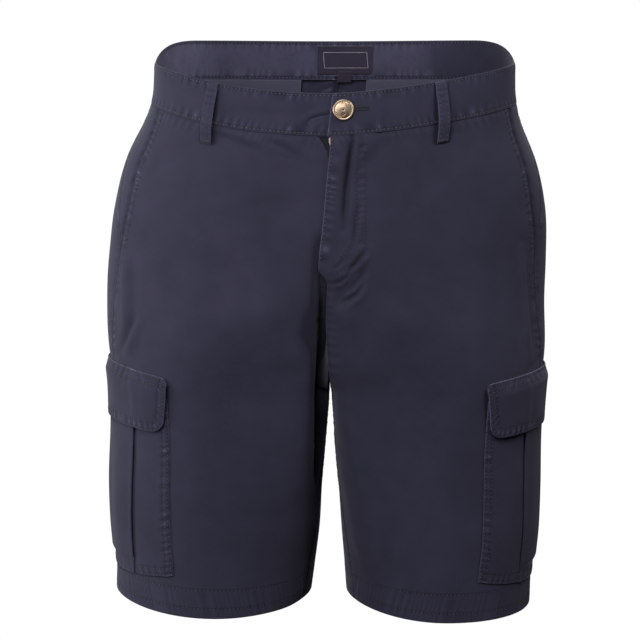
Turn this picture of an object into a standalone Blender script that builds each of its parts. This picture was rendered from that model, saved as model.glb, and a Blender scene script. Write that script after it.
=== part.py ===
"""Cargo shorts: men's cotton shorts, filled out and hollow, as if worn.

Metres, +Z up. The front faces -Y and the wearer's left is at +X. The origin is the middle of the
waist, level with the top edge of the waistband's front.

Every cloth piece is a closed wall. Its points lie on one body surface, whose horizontal sections
come from the SECTIONS table, and are moved out or in from it by the piece's place in the layers.
A place on the surface is a level (height before the waist's tilt) and an arc length around the
section, from the side's outermost point, positive towards the front.
"""

import math
from collections import namedtuple

import bmesh
import bpy
import numpy as np
from mathutils import Matrix, Vector

MM = 0.001
GAP = 0.3 * MM  # between pieces at a seam
INNER_GAP = 1.2 * MM  # between a facet's inner face and the layer inside it
BAG_GAP = 1.7 * MM  # and between the back and its pocket bag
LEFT, RIGHT = 1, -1  # the wearer's sides

# Cloth
WALL = 1.6 * MM
HEM_WALL = 3.0 * MM  # the hem is turned up
THIN_WALL = 1.0 * MM  # cargo pockets, pocket bags and zip tapes
FLAP_WALL = 2.0 * MM
LOOP_WALL = 1.8 * MM

# Heights below the waistband's top edge
BAND_HEIGHT = 40 * MM
BAND_OUT = 0.8 * MM  # the waistband's outer face stands this far out
BAND_WALL = 2.4 * MM
FULL_LENGTH = 520 * MM
HEM_HEIGHT = 31 * MM
CROTCH_LEVEL = -298 * MM
CLEFT_LEVEL = -160 * MM  # where the legs begin to part
PARTING_SOFT = 0.35  # how much of that length is a soft start
PARTING_ROUND = 0.06  # and how round its end is
PARTING_WHOLE = math.hypot(1, PARTING_ROUND) - PARTING_ROUND
WAIST_RISE = 37 * MM  # the waistband's back is this much higher than the middle of its front
SIDE_RISE = 22.5 * MM  # and its sides this much
SIDE_RISE_POWER = {LEFT: 1.35, RIGHT: 2.1}  # how late the front climbs towards each side
BACK_RISE_BEGINS, BACK_RISE_ENDS = 0.5, 0.85  # shares of the depth between which the rest comes
RISE_LEFT = 0.018  # the waist also climbs towards the wearer's left, for each unit across
BACK_CORNER_RISE = 4 * MM  # and its back towards both corners
WAIST_RISE_FADE = (-40 * MM, -260 * MM)
HEM_RISE_INNER = 8 * MM  # the hem is higher at the inseam than in the middle of the front
HEM_RISE_OUTER = {LEFT: 0 * MM, RIGHT: 8 * MM}  # and on one leg at the side seam too
HEM_RISE_FADE = (-440 * MM, -520 * MM)
PANEL_TOP = -(BAND_HEIGHT + GAP)
HEM_TOP = -(FULL_LENGTH - HEM_HEIGHT)

# Half of the body's horizontal section at each level, in millimetres: how far the side, the front
# and the back reach, how square the curve is (2 is an ellipse) and how square its corner at the
# inner front, and half the gap between the legs.
# The whole section sways towards the wearer's left, and its middle alone is pushed further.
Section = namedtuple("Section", "level side front back square corner gap sway push")
SECTIONS = (
    Section(-520, 210, 101, 95, 2.0, 2.0, 18.4, 0, 6),
    Section(-475, 210.5, 103, 99, 2.05, 2.1, 14, 0.5, 6),
    Section(-442, 212.5, 105, 104, 2.1, 2.4, 11, 0.5, 6),
    Section(-400, 213.5, 107, 110, 2.1, 3.0, 8.6, 0, 5.5),
    Section(-340, 213, 111, 118, 2.1, 5.5, 4, 0, 4.5),
    Section(-298, 214.5, 116, 126, 2.1, 8.0, 0.9, 0, 3.5),
    Section(-256, 218.5, 124, 135, 2.1, 8.0, 0, -1, 1),
    Section(-215, 218.5, 131, 142, 2.1, 5.0, 0, -2.5, 0),
    Section(-175, 217.5, 134, 144, 2.15, 2.4, 0, -1.5, 0),
    Section(-135, 214, 135, 142, 2.2, 2.2, 0, 0, 0),
    Section(-95, 203.5, 134, 136, 2.25, 2.25, 0, 0.3, 0),
    Section(-60, 186.5, 132, 128, 2.3, 2.3, 0, 1.2, 0),
    Section(-40, 179.5, 129, 121, 2.35, 2.35, 0, 2, 0),
    Section(0, 176.5, 125, 115, 2.4, 2.4, 0, 2.3, 0),
)

# Seams and edges, in millimetres of arc from the side's outermost point, positive to the front.
Edge = namedtuple("Edge", "level side_seam pocket_mouth")
SIDE_EDGES = (
    Edge(-520, 33, 33),
    Edge(-400, 37, 37),
    Edge(-300, 41.5, 41.5),
    Edge(-256, 46, 46),
    Edge(-215, 51, 51),
    Edge(-170, 56, 56),
    Edge(-130, 42, 62.5),
    Edge(-85, 20, 61),
    Edge(-40, -12, 57),
    Edge(0, -16, 57),
)
MOUTH_END = -170 * MM  # the slanted pocket mouth meets the side seam here
FACING_TUCK = 14 * MM  # how far the hip facing runs in behind the mouth
FACING_STEP = 3 * MM  # and the width over which it drops there
COLUMNS_APART = 0.02 * MM
INSEAM_FORWARD = 40 * MM  # the inseam's arc in front of the leg's innermost point, at the hem
INSEAM_FADE = 150 * MM

# Fly: the wearer's left front laps over the right one. x of the edges, in millimetres.
Lap = namedtuple("Lap", "level over under")
FLY_EDGES = (
    Lap(-165, -9.5, -5.5),
    Lap(-147, -9, -5),
    Lap(-110, -6, -2),
    Lap(-75, -4, -1),
    Lap(-58, -3, -4),
    Lap(-54, -3, -5.5),
    Lap(-40, -3, -15),
)
FLY_END = -165 * MM
FLY_OUT_TOP = 3.7 * MM  # room for the zip slider and its tab
FLY_OUT_LOW = 2.5 * MM
FLY_RAMP = (10 * MM, 34 * MM)  # the raised edge eases down to the stitching line

# Zip, closed, between the fly's layers
ZIP_X = -0.5 * MM
TAPE_OUT = -(WALL + GAP)
TAPE_WIDTH = 13 * MM
TAPE_LEVELS = (-41, -58, -82, -110, -135, -160)
SLIDER_LEVEL = -45.5 * MM
SLIDER_SINK = 0.5 * MM  # the slider's body reaches this far into the tapes' plane
BRIDGE_MIDDLE = (-0.4 * MM, 1.45 * MM)  # its height along the zip and out from the slider

# Waistband ends
OVER_END_X = (-2 * MM, -6 * MM)  # at its top and bottom
UNDER_END_X = 36 * MM
OVER_END_OUT = BAND_OUT + BAND_WALL + 2 * GAP
OVER_RAMP = (40 * MM, 56 * MM)
BUTTON_X = 8.3 * MM
BUTTON_LEVEL = -16 * MM
BUTTONHOLE_END_X = 31 * MM
BUTTONHOLE_CUT = (-GAP / 2, 8 * MM)  # the slit's cutter, out from the under-end
POST_RADIUS = 2.6 * MM
POST_PLAY = 0.4 * MM

# Cargo pockets, centred on the side seam
POCKET_TOP = -296 * MM
POCKET_BOTTOM = -479 * MM
POCKET_SAG = 10 * MM  # the bottom edge is lower in its middle
POCKET_HALF = 92 * MM
POCKET_SHIFT = {LEFT: -4.5 * MM, RIGHT: -7.3 * MM}  # its middle lies behind the side seam
STRIP_WIDTH = 47 * MM  # from the pocket's edges to the box pleat between them
PLEAT_SHIFT = {LEFT: -6.4 * MM, RIGHT: 6.4 * MM}  # the pleat isn't quite in the middle
PLEAT_DEPTH = 9 * MM
BOX_INSET = 1 * MM  # the box between the pleats stops short of each slit
BOX_CROWN = 0.4 * MM
BOX_STEPS = (0.25, 0.5, 0.75)  # shares of the way from a slit to the middle
FLAP_TOP = -279 * MM
FLAP_RISE = (6.5 * MM, 3.5 * MM)  # the top and bottom edges are higher in their middle
FLAP_HEIGHT = 55.5 * MM
FLAP_CORNER = 13 * MM
FLAP_TOP_CORNER = 6 * MM
FLAP_OVERHANG = 4 * MM
FLAP_TAPER = 9 * MM  # each side edge leans in by this much towards the bottom
SEWN_DOWN = 0.5 * MM  # how far a sewn edge stands off the leg
FLAP_STAND_OFF = 4.4 * MM  # more, where the flap lies over the pleat
FLAP_STEP = (1 * MM, 12.5 * MM)  # where, below its top edge, the flap rises to that

# Belt loops: width, how far the middle stands off, and where each is: x at the top and bottom.
LOOP_WIDTH = 11.5 * MM
LOOP_TOP = -2.5 * MM
LOOP_BOTTOM = -58 * MM
LOOP_STAND_OFF = 8.5 * MM
LOOP_STEPS = (0, 0.03, 0.07, 0.11, 0.15, 0.32, 0.5, 0.68, 0.85, 0.89, 0.93, 0.97, 1)
Loop = namedtuple("Loop", "name facing x_top x_bottom")
LOOPS = (
    Loop("belt_loop_front_right", "front", -115, -120),
    Loop("belt_loop_front_left", "front", 100, 104),
    Loop("belt_loop_back_right", "back", -112, -114),
    Loop("belt_loop_back_left", "back", 112, 114),
    Loop("belt_loop_back_middle", "back", 0, 0),
)

# Back pockets: the bag inside and the welt outside, measured across from the centre back.
BAG_ACROSS = (34 * MM, 166 * MM)
BAG_BOTTOM = -205 * MM
WELT_ACROSS = (38 * MM, 160 * MM)
WELT_TOP = -100 * MM
WELT_HEIGHT = 13 * MM

# Labels inside the back of the waistband
LABEL_MIDDLE_X = 11 * MM
LABEL_SIZE = (57 * MM, 29 * MM)
LABEL_TOP = -5 * MM
TAB_SIZE = (14 * MM, 11 * MM)
TAB_TOP = -31 * MM

# Folds of the cloth that show from a step away: soft troughs (negative) and ridges, as straight
# runs seen from the front or back. Millimetres: both ends, half width and height.
Fold = namedtuple("Fold", "facing x_top z_top x_end z_end width height")
FOLDS = (
    Fold("front", 17, -48, 10, -165, 9, -3.0),
    Fold("front", 30, -160, 8, -205, 10, -3.5),
    Fold("front", -62, -196, -30, -262, 22, 2.0),
    Fold("front", 70, -205, 32, -275, 22, 2.0),
    Fold("front", -26, -330, -34, -515, 14, 2.5),
    Fold("front", 26, -330, 52, -480, 14, 2.5),
    Fold("front", -200, -170, -196, -255, 9, 2.5),
    Fold("front", 150, -200, 120, -420, 30, 2.0),
    Fold("front", -140, -190, -110, -420, 30, 2.0),
    Fold("back", -120, -205, -25, -262, 18, -3.5),
    Fold("back", 120, -205, 25, -262, 18, -3.5),
    Fold("back", -60, -300, -90, -470, 26, 2.5),
    Fold("back", 60, -300, 90, -470, 26, 2.5),
)

FRONT_COLUMNS = 18
BACK_COLUMNS = 22
VIA_COLUMNS = 7  # of those, from the inner edge to this far out from the inner leg or the centre
VIA_OUT = (8 * MM, 36 * MM)  # below and beside the fly
CROTCH_LEVELS = (-252, -266, -278, -286, -290, -293, -298, -304, -316)
BODY_LEVELS = (-54, -58, -74, -92, -110, -130, -147)
FLY_END_LEVELS = (-162.9, -164.7, -165.3, -188, -210, -232)
LEG_LEVELS = (-338, -366, -400, -434, -464)


# ---- the body surface ----


def smooth_column(table, column):
    """A smooth curve through one column of a table, in metres, read by level."""
    rows = sorted(table, key=lambda row: row.level)
    levels = np.array([row.level for row in rows]) * MM
    values = np.array([getattr(row, column) for row in rows], float)
    if column not in ("square", "corner"):
        values = values * MM
    slopes = np.gradient(values, levels)

    def curve(level):
        level = np.clip(level, levels[0], levels[-1])
        row = np.clip(np.searchsorted(levels, level) - 1, 0, len(levels) - 2)
        span = levels[row + 1] - levels[row]
        t = (level - levels[row]) / span
        start = values[row] * (1 + 2 * t) * (1 - t) ** 2 + slopes[row] * span * t * (1 - t) ** 2
        end = values[row + 1] * t * t * (3 - 2 * t) + slopes[row + 1] * span * t * t * (t - 1)
        return start + end

    return curve


SIDE_REACH = smooth_column(SECTIONS, "side")
FRONT_REACH = smooth_column(SECTIONS, "front")
BACK_REACH = smooth_column(SECTIONS, "back")
SQUARENESS = smooth_column(SECTIONS, "square")
CORNER_SQUARENESS = smooth_column(SECTIONS, "corner")
LEG_GAP = smooth_column(SECTIONS, "gap")
SWAY = smooth_column(SECTIONS, "sway")
MIDDLE_PUSH = smooth_column(SECTIONS, "push")
SIDE_SEAM = smooth_column(SIDE_EDGES, "side_seam")
POCKET_MOUTH = smooth_column(SIDE_EDGES, "pocket_mouth")


def ease(value, start, end):
    """0 before start, 1 after end, and smooth between."""
    t = np.clip((value - start) / (end - start), 0, 1)
    return t * t * (3 - 2 * t)


def parting(level):
    """How far the legs have parted: 0 above the cleft, 1 from the crotch down."""
    t = np.clip((CLEFT_LEVEL - level) / (CLEFT_LEVEL - CROTCH_LEVEL), 0, 1)
    t = np.where(t < PARTING_SOFT, t * t / (2 * PARTING_SOFT), t - PARTING_SOFT / 2)
    left = 1 - t / (1 - PARTING_SOFT / 2)
    left = (np.hypot(left, PARTING_ROUND) - PARTING_ROUND) / PARTING_WHOLE
    return 1 - left ** 1.6


def oval(level):
    """Middle and half width of the section on the wearer's left, and its squareness."""
    side = SIDE_REACH(level)
    inner = -side + parting(level) * (side + LEG_GAP(level))
    return (side + inner) / 2, (side - inner) / 2, SQUARENESS(level)


def base_point(level, angle):
    """A point of the wearer's left half; the angle runs from the side, positive to the front."""
    middle, half, square = oval(level)
    cosine, sine = np.cos(angle), np.sin(angle)
    square = np.where((cosine < 0) & (sine > 0), CORNER_SQUARENESS(level), square)
    x = middle + half * np.sign(cosine) * np.abs(cosine) ** (2 / square)
    depth = np.where(sine > 0, FRONT_REACH(level), BACK_REACH(level))
    y = -depth * np.sign(sine) * np.abs(sine) ** (2 / square)
    return np.stack([x, y, level], axis=-1)


def body_point(side, level, angle):
    """A point of either half, mirrored there and moved by the waist's and hems' rise and the
    lean."""
    x, y, level = np.moveaxis(base_point(level, angle) * np.array([side, 1, 1]), -1, 0)
    waist = SECTIONS[-1]
    depth = (y + waist.front * MM) / ((waist.front + waist.back) * MM)
    across = x / SIDE_REACH(level)
    power = np.where(x > 0, SIDE_RISE_POWER[LEFT], SIDE_RISE_POWER[RIGHT])
    rise = SIDE_RISE * np.where(y < 0, np.abs(across) ** power, 1)
    rise = rise + (WAIST_RISE - SIDE_RISE) * ease(depth, BACK_RISE_BEGINS, BACK_RISE_ENDS)
    corner = BACK_CORNER_RISE * (x / (waist.side * MM)) ** 2
    rise = rise + RISE_LEFT * x + corner * ease(y, -20 * MM, 60 * MM)
    z = level + rise * ease(level, WAIST_RISE_FADE[1], WAIST_RISE_FADE[0])
    hem_rise = np.where(np.cos(angle) > 0, HEM_RISE_OUTER[side], HEM_RISE_INNER)
    z = z + hem_rise * np.cos(angle) ** 2 * ease(level, *HEM_RISE_FADE)
    middle = MIDDLE_PUSH(level) * np.clip(1 - across ** 2, 0, 1)
    return np.stack([x + SWAY(level) + middle, y, z], axis=-1)


def body_normal(side, level, angle):
    """The surface's outward direction there."""
    turn, rise = 0.004, 0.4 * MM
    along = body_point(side, level, angle + turn) - body_point(side, level, angle - turn)
    up = body_point(side, level + rise, angle) - body_point(side, level - rise, angle)
    normal = np.cross(up, along) * side
    return normal / np.linalg.norm(normal, axis=-1, keepdims=True)


def arc_table(level):
    """Angles around a section and their arc lengths from the side's outermost point."""
    angles = np.linspace(-1.3 * math.pi, 1.2 * math.pi, 501)
    points = base_point(np.full_like(angles, level), angles)
    steps = np.linalg.norm(np.diff(points, axis=0), axis=1)
    arcs = np.concatenate([[0], np.cumsum(steps)])
    return angles, arcs - np.interp(0, angles, arcs)


def angle_at_x(level, x, facing):
    """The angle where the section passes x, on the front or the back."""
    middle, half, square = oval(level)
    across = np.clip((x - middle) / half, -1, 1)
    if facing == "front" and across < 0:
        square = CORNER_SQUARENESS(level)
    angle = math.acos(np.sign(across) * abs(across) ** (square / 2))
    return angle if facing == "front" else -angle


def arc_at_x(level, x, facing):
    angles, arcs = arc_table(level)
    return float(np.interp(angle_at_x(level, x, facing), angles, arcs))


def fold_height(points):
    """The folds' height at each point of the whole body."""
    total = np.zeros(points.shape[:-1])
    for fold in FOLDS:
        start = np.array([fold.x_top, fold.z_top]) * MM
        run = np.array([fold.x_end, fold.z_end]) * MM - start
        offset = points[..., (0, 2)] - start
        along = offset @ run / (run @ run)
        across = (offset @ np.array([-run[1], run[0]])) / np.linalg.norm(run)
        length_fade = ease(along, -0.15, 0.2) * ease(along, 1.15, 0.8)
        facing = points[..., 1] < 0 if fold.facing == "front" else points[..., 1] > 0
        shape = np.exp(-((across / (fold.width * MM)) ** 2))
        total += np.where(facing, fold.height * MM * shape * length_fade, 0)
    beside_seam = ease(np.abs(points[..., 0]), 0, 10 * MM)
    return np.where(points[..., 2] > FLY_END, total, total * beside_seam)


def surface(side, level, arcs, out, lift=0):
    """Points on one side of the body at a level, at these arcs, moved out by out. lift moves
    each one along the body from that level."""
    angles, lengths = arc_table(level)
    angle = np.interp(arcs, lengths, angles)
    levels = np.full_like(angle, level) + lift
    points, normals = body_point(side, levels, angle), body_normal(side, levels, angle)
    if callable(out):
        out = out(level, base_point(levels, angle)[:, 0])
    return points + normals * (fold_height(points) + out)[..., None]


# ---- building meshes ----


def add_object(name, vertices, faces, material):
    mesh = bpy.data.meshes.new(name)
    mesh.from_pydata([tuple(v) for v in vertices], [], faces)
    body = bmesh.new()
    body.from_mesh(mesh)
    bmesh.ops.recalc_face_normals(body, faces=body.faces)
    body.to_mesh(mesh)
    body.free()
    if material:
        mesh.materials.append(material)
    mesh.shade_smooth()
    mesh.set_sharp_from_angle(angle=math.radians(40))
    thing = bpy.data.objects.new(name, mesh)
    bpy.context.scene.collection.objects.link(thing)
    return thing


def add_wall(name, outer, inner, material):
    """A closed wall between two grids of points of the same size, indexed [row, column]."""
    rows, columns = outer.shape[:2]
    count = rows * columns
    vertices = np.concatenate([outer.reshape(-1, 3), inner.reshape(-1, 3)])
    faces = []
    for row in range(rows - 1):
        for column in range(columns - 1):
            a = row * columns + column
            quad = (a, a + 1, a + columns + 1, a + columns)
            faces.append(quad)
            faces.append(tuple(v + count for v in reversed(quad)))
    rim = list(range(columns))
    rim += [row * columns + columns - 1 for row in range(1, rows)]
    rim += [(rows - 1) * columns + column for column in reversed(range(columns - 1))]
    rim += [row * columns for row in reversed(range(1, rows - 1))]
    for here, after in zip(rim, rim[1:] + rim[:1]):
        faces.append((after, here, here + count, after + count))
    return add_object(name, vertices, faces, material)


def panel_grid(side, levels, start, end, columns, out, via=None):
    """Rows at the levels, each running from arc start(level) to end(level). With via, the first
    columns stop at via(level), so that a step in the starting edge moves no others."""
    rows = []
    for level in levels:
        if via is None:
            arcs = np.linspace(start(level), end(level), columns)
        else:
            near = np.linspace(start(level), via(level), VIA_COLUMNS)
            far = np.linspace(via(level), end(level), columns - VIA_COLUMNS + 1)
            arcs = np.concatenate([near, far[1:]])
        rows.append(surface(side, level, arcs, out))
    return np.array(rows)


def add_panel(name, side, levels, start, end, columns, material, out=0, wall=WALL, via=None):
    """A wall on the body surface. out is its outer face's place; both may depend on the level."""

    def inner_out(level, x):
        outer = out(level, x) if callable(out) else out
        return outer - (wall(level) if callable(wall) else wall)

    outer = panel_grid(side, levels, start, end, columns, out, via)
    inner = panel_grid(side, levels, start, end, columns, inner_out, via)
    return add_wall(name, outer, inner, material)


# ---- edges of the leg panels ----


def lap_edge(level, which):
    """x of the fly's edge on the over or the under side."""
    rows = sorted(FLY_EDGES, key=lambda row: row.level)
    levels = [row.level * MM for row in rows]
    return float(np.interp(level, levels, [getattr(row, which) * MM for row in rows]))


def centre_edge_front(level):
    """Arc of the front's centre seam, or of its inseam below the crotch."""
    if level > CROTCH_LEVEL:
        return arc_at_x(level, GAP / 2, "front")
    forward = INSEAM_FORWARD * float(ease(level, CROTCH_LEVEL, CROTCH_LEVEL - INSEAM_FADE))
    angles, arcs = arc_table(level)
    return float(np.interp(math.pi, angles, arcs)) - forward - GAP / 2


def lapped_edge_front(level, side):
    """Arc of the front panel's inner edge, which laps the other panel's along the fly."""
    if level < FLY_END:
        return centre_edge_front(level)
    x = lap_edge(level, "over") if side == LEFT else -lap_edge(level, "under")
    return arc_at_x(level, x, "front")


def outer_edge_front(level):
    """Arc of the front panel's outer edge: the slanted pocket mouth, then the side seam."""
    seam = float(SIDE_SEAM(level))
    mouth = float(POCKET_MOUTH(level)) if level > MOUTH_END else seam
    return max(mouth, seam) + GAP / 2


def inner_edge_back(level):
    """Arc of the back panel's centre edge, or of its inseam below the crotch."""
    if level > CROTCH_LEVEL:
        return arc_at_x(level, GAP / 2, "back")
    forward = INSEAM_FORWARD * float(ease(level, CROTCH_LEVEL, CROTCH_LEVEL - INSEAM_FADE))
    angles, arcs = arc_table(level)
    return float(np.interp(-math.pi, angles, arcs)) - forward + GAP / 2


def panel_levels():
    whole = BODY_LEVELS + FLY_END_LEVELS + CROTCH_LEVELS + LEG_LEVELS
    hem = (HEM_TOP + GAP, HEM_TOP - GAP, -(FULL_LENGTH - HEM_HEIGHT / 2), -FULL_LENGTH)
    return (PANEL_TOP,) + tuple(level * MM for level in whole) + hem


def via_arc(level, facing):
    """Where the panel's inner columns end: this far out from the inner leg or the centre."""
    share = float(ease(level, FLY_END - 75 * MM, FLY_END))
    out = VIA_OUT[0] + (VIA_OUT[1] - VIA_OUT[0]) * share
    return arc_at_x(level, float(LEG_GAP(level)) + out, facing)


def leg_wall(level):
    return HEM_WALL if level < HEM_TOP else WALL


def fly_out(level, x):
    """How far the fly's overlap is raised, to lie over the zip and the right front."""
    height = FLY_OUT_LOW + (FLY_OUT_TOP - FLY_OUT_LOW) * ease(level, -85 * MM, -68 * MM)
    height = height * ease(level, FLY_END - 24 * MM, FLY_END - 1 * MM)
    return height * ease(x, FLY_RAMP[1], FLY_RAMP[0])


def add_leg_panels(side, twill):
    word = "left" if side == LEFT else "right"
    add_panel(
        f"front_{word}", side, panel_levels(),
        lambda level: lapped_edge_front(level, side), outer_edge_front,
        FRONT_COLUMNS, twill, out=fly_out if side == LEFT else 0, wall=leg_wall,
        via=lambda level: via_arc(level, "front"),
    )
    add_panel(
        f"back_{word}", side, panel_levels(), inner_edge_back,
        lambda level: float(SIDE_SEAM(level)) - GAP / 2, BACK_COLUMNS, twill, wall=leg_wall,
        via=lambda level: via_arc(level, "back"),
    )


def add_hip_facing(side, twill):
    """The piece behind the slanted mouth, tucked under the front and flush beside it."""
    word = "left" if side == LEFT else "right"
    levels = [level for level in panel_levels() if level >= MOUTH_END - 1 * MM]
    rows_out, rows_in = [], []
    for level in levels:
        mouth, seam = float(POCKET_MOUTH(level)), float(SIDE_SEAM(level)) + GAP / 2
        open_part = max(mouth - seam, 0)
        step = min(FACING_STEP, open_part)
        arcs = [mouth + FACING_TUCK, mouth + FACING_TUCK / 2, mouth]
        arcs += list(np.linspace(mouth - step, mouth - open_part, 6))
        # where the mouth meets the seam the columns still keep a little apart
        apart = np.arange(len(arcs)) * COLUMNS_APART
        arcs = np.minimum.accumulate(np.array(arcs) - apart)
        arcs = np.maximum(arcs, seam + apart[::-1])
        depth = -(WALL + INNER_GAP) * ease(arcs, mouth - FACING_STEP, mouth)
        rows_out.append(surface(side, level, arcs, depth))
        rows_in.append(surface(side, level, arcs, depth - WALL))
    add_wall(f"hip_facing_{word}", np.array(rows_out), np.array(rows_in), twill)


# ---- waistband and button ----


def over_end_x(level):
    return float(np.interp(level, (-BAND_HEIGHT, 0), OVER_END_X[::-1]))


def over_end_out(level, x):
    return BAND_OUT + (OVER_END_OUT - BAND_OUT) * ease(x, OVER_RAMP[1], OVER_RAMP[0])


def band_levels():
    return np.linspace(0, -(BAND_HEIGHT - GAP), 5)


def add_waistband(twill):
    add_panel(
        "waistband_front_left", LEFT, band_levels(),
        lambda level: arc_at_x(level, over_end_x(level), "front"),
        lambda level: float(SIDE_SEAM(level)) + GAP / 2,
        18, twill, out=over_end_out, wall=BAND_WALL,
    )
    add_panel(
        "waistband_front_right", RIGHT, band_levels(),
        lambda level: arc_at_x(level, -UNDER_END_X, "front"),
        lambda level: float(SIDE_SEAM(level)) + GAP / 2,
        18, twill, out=BAND_OUT, wall=BAND_WALL,
    )
    halves = {}
    for side in (LEFT, RIGHT):
        for face, out in (("outer", BAND_OUT), ("inner", BAND_OUT - BAND_WALL)):
            halves[side, face] = panel_grid(
                side, band_levels(),
                lambda level: float(SIDE_SEAM(level)) - GAP / 2,
                lambda level: arc_at_x(level, 0, "back"), 14, out,
            )
    grids = []
    for face in ("outer", "inner"):
        other_half = halves[RIGHT, face][:, -2::-1]
        grids.append(np.concatenate([halves[LEFT, face], other_half], axis=1))
    add_wall("waistband_back", grids[0], grids[1], twill)


def local_frame(side, level, x, facing, out):
    """A frame on the surface: X across, Y up the surface, Z straight out of it."""
    angle = np.array([angle_at_x(level, x * side, facing)])
    levels = np.array([level])
    outward = Vector(body_normal(side, levels, angle)[0])
    origin = body_point(side, levels, angle)[0] + out * np.array(outward)
    across = Vector((0, 0, 1)).cross(outward).normalized()
    upward = outward.cross(across)
    turn = Matrix((across, upward, outward)).transposed().to_4x4()
    return Matrix.Translation(Vector(origin)) @ turn


def turned(name, profile, segments, material, frame):
    """A turned solid about the frame's Z. The profile is (radius, height), on the axis at its ends."""
    vertices, rings = [], []
    for radius, height in profile:
        if radius == 0:
            rings.append([len(vertices)])
            vertices.append((0, 0, height))
            continue
        rings.append(list(range(len(vertices), len(vertices) + segments)))
        for step in range(segments):
            angle = 2 * math.pi * step / segments
            vertices.append((radius * math.cos(angle), radius * math.sin(angle), height))
    faces = []
    for low, high in zip(rings, rings[1:]):
        for step in range(segments):
            after = (step + 1) % segments
            corners = [low[step % len(low)], low[after % len(low)],
                       high[after % len(high)], high[step % len(high)]]
            faces.append(tuple(dict.fromkeys(corners)))
    thing = add_object(name, vertices, faces, material)
    thing.matrix_world = frame
    return thing


def prism(outline, low, high):
    """Vertices and faces of an upright solid over an outline, counter-clockwise."""
    count = len(outline)
    vertices = [(x, y, low) for x, y in outline] + [(x, y, high) for x, y in outline]
    faces = [tuple(reversed(range(count))), tuple(range(count, 2 * count))]
    faces += [(i, (i + 1) % count, (i + 1) % count + count, i + count) for i in range(count)]
    return vertices, faces


def cut(target, cutter):
    """Takes the cutter away from the target."""
    modifier = target.modifiers.new(f"cut_{cutter.name}", "BOOLEAN")
    modifier.operation = "DIFFERENCE"
    modifier.solver = "EXACT"
    modifier.object = cutter
    cutter.hide_render = True
    cutter.display_type = "WIRE"


def add_button(brass):
    """A jeans button on the under-end, its post through the over-end's buttonhole."""
    frame = local_frame(LEFT, BUTTON_LEVEL, BUTTON_X, "front", BAND_OUT + GAP)
    lap = OVER_END_OUT - BAND_OUT + GAP
    profile = [
        (0, 0), (POST_RADIUS, 0), (POST_RADIUS, lap),
        (9.0 * MM, lap + 0.1 * MM), (9.9 * MM, lap + 0.6 * MM), (10.1 * MM, lap + 1.3 * MM),
        (9.3 * MM, lap + 2.2 * MM), (8.3 * MM, lap + 2.1 * MM), (6.0 * MM, lap + 2.6 * MM),
        (1.4 * MM, lap + 3.0 * MM), (0, lap + 2.5 * MM),
    ]
    turned("button", profile, 24, brass, frame)
    cut_buttonhole(frame)


def cut_buttonhole(frame):
    """A keyhole slit through the over-end: a round eye for the post, then a narrow slot."""
    eye_radius = POST_RADIUS + POST_PLAY
    slit_half = 0.8 * MM
    length = BUTTONHOLE_END_X - BUTTON_X
    start = math.asin(slit_half / eye_radius)
    outline = []
    for angle in np.linspace(start, 2 * math.pi - start, 17):
        outline.append((eye_radius * math.cos(angle), eye_radius * math.sin(angle)))
    outline += [(length, -slit_half), (length, slit_half)]
    vertices, faces = prism(outline, *BUTTONHOLE_CUT)
    cutter = add_object("buttonhole_cutter", vertices, faces, None)
    cutter.matrix_world = frame
    cut(bpy.data.objects["waistband_front_left"], cutter)


# ---- zip ----


def add_zip(tape, brass):
    for side, word in ((LEFT, "left"), (RIGHT, "right")):
        near = side * ZIP_X + GAP / 2
        add_panel(
            f"zip_tape_{word}", side, [level * MM for level in TAPE_LEVELS],
            lambda level, near=near: arc_at_x(level, near, "front"),
            lambda level, near=near: arc_at_x(level, near + TAPE_WIDTH, "front"),
            3, tape, out=TAPE_OUT, wall=THIN_WALL,
        )
    frame = local_frame(LEFT, SLIDER_LEVEL, ZIP_X, "front", TAPE_OUT + SLIDER_SINK)
    add_slider(frame, brass)
    add_pull_tab(frame, brass)


def add_slider(frame, brass):
    """The slider's body, wide at the top, with the bridge that the pull tab hangs from."""
    outline = [(-2.2, -4.5), (2.2, -4.5), (3.6, -1), (4.0, 3), (2.6, 4.5), (-2.6, 4.5),
               (-4.0, 3), (-3.6, -1)]
    vertices, faces = prism([(x * MM, y * MM) for x, y in outline], 0, 1.0 * MM)
    body = add_object("zip_slider", vertices, faces, brass)
    bridge = [(-0.8, 3.4), (-0.8, -2.6), (0.8, -2.6), (0.8, 3.4)]
    vertices, faces = prism([(x * MM, y * MM) for x, y in bridge], 0.6 * MM, 2.5 * MM)
    arch = add_object("slider_bridge_guide", vertices, faces, None)
    eye = [(-2 * MM, y * MM, z * MM) for y, z in ((-1.6, 1.0), (2.2, 1.0), (2.2, 1.9), (-1.6, 1.9))]
    eye += [(-x, y, z) for x, y, z in eye]
    faces = [(0, 1, 2, 3), (7, 6, 5, 4), (0, 4, 5, 1), (1, 5, 6, 2), (2, 6, 7, 3), (3, 7, 4, 0)]
    hole = add_object("slider_eye_cutter", eye, faces, None)
    join = body.modifiers.new("bridge", "BOOLEAN")
    join.operation = "UNION"
    join.solver = "EXACT"
    join.object = arch
    arch.hide_render = True
    arch.display_type = "WIRE"
    cut(body, hole)
    for thing in (body, arch, hole):
        thing.matrix_world = frame


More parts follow.
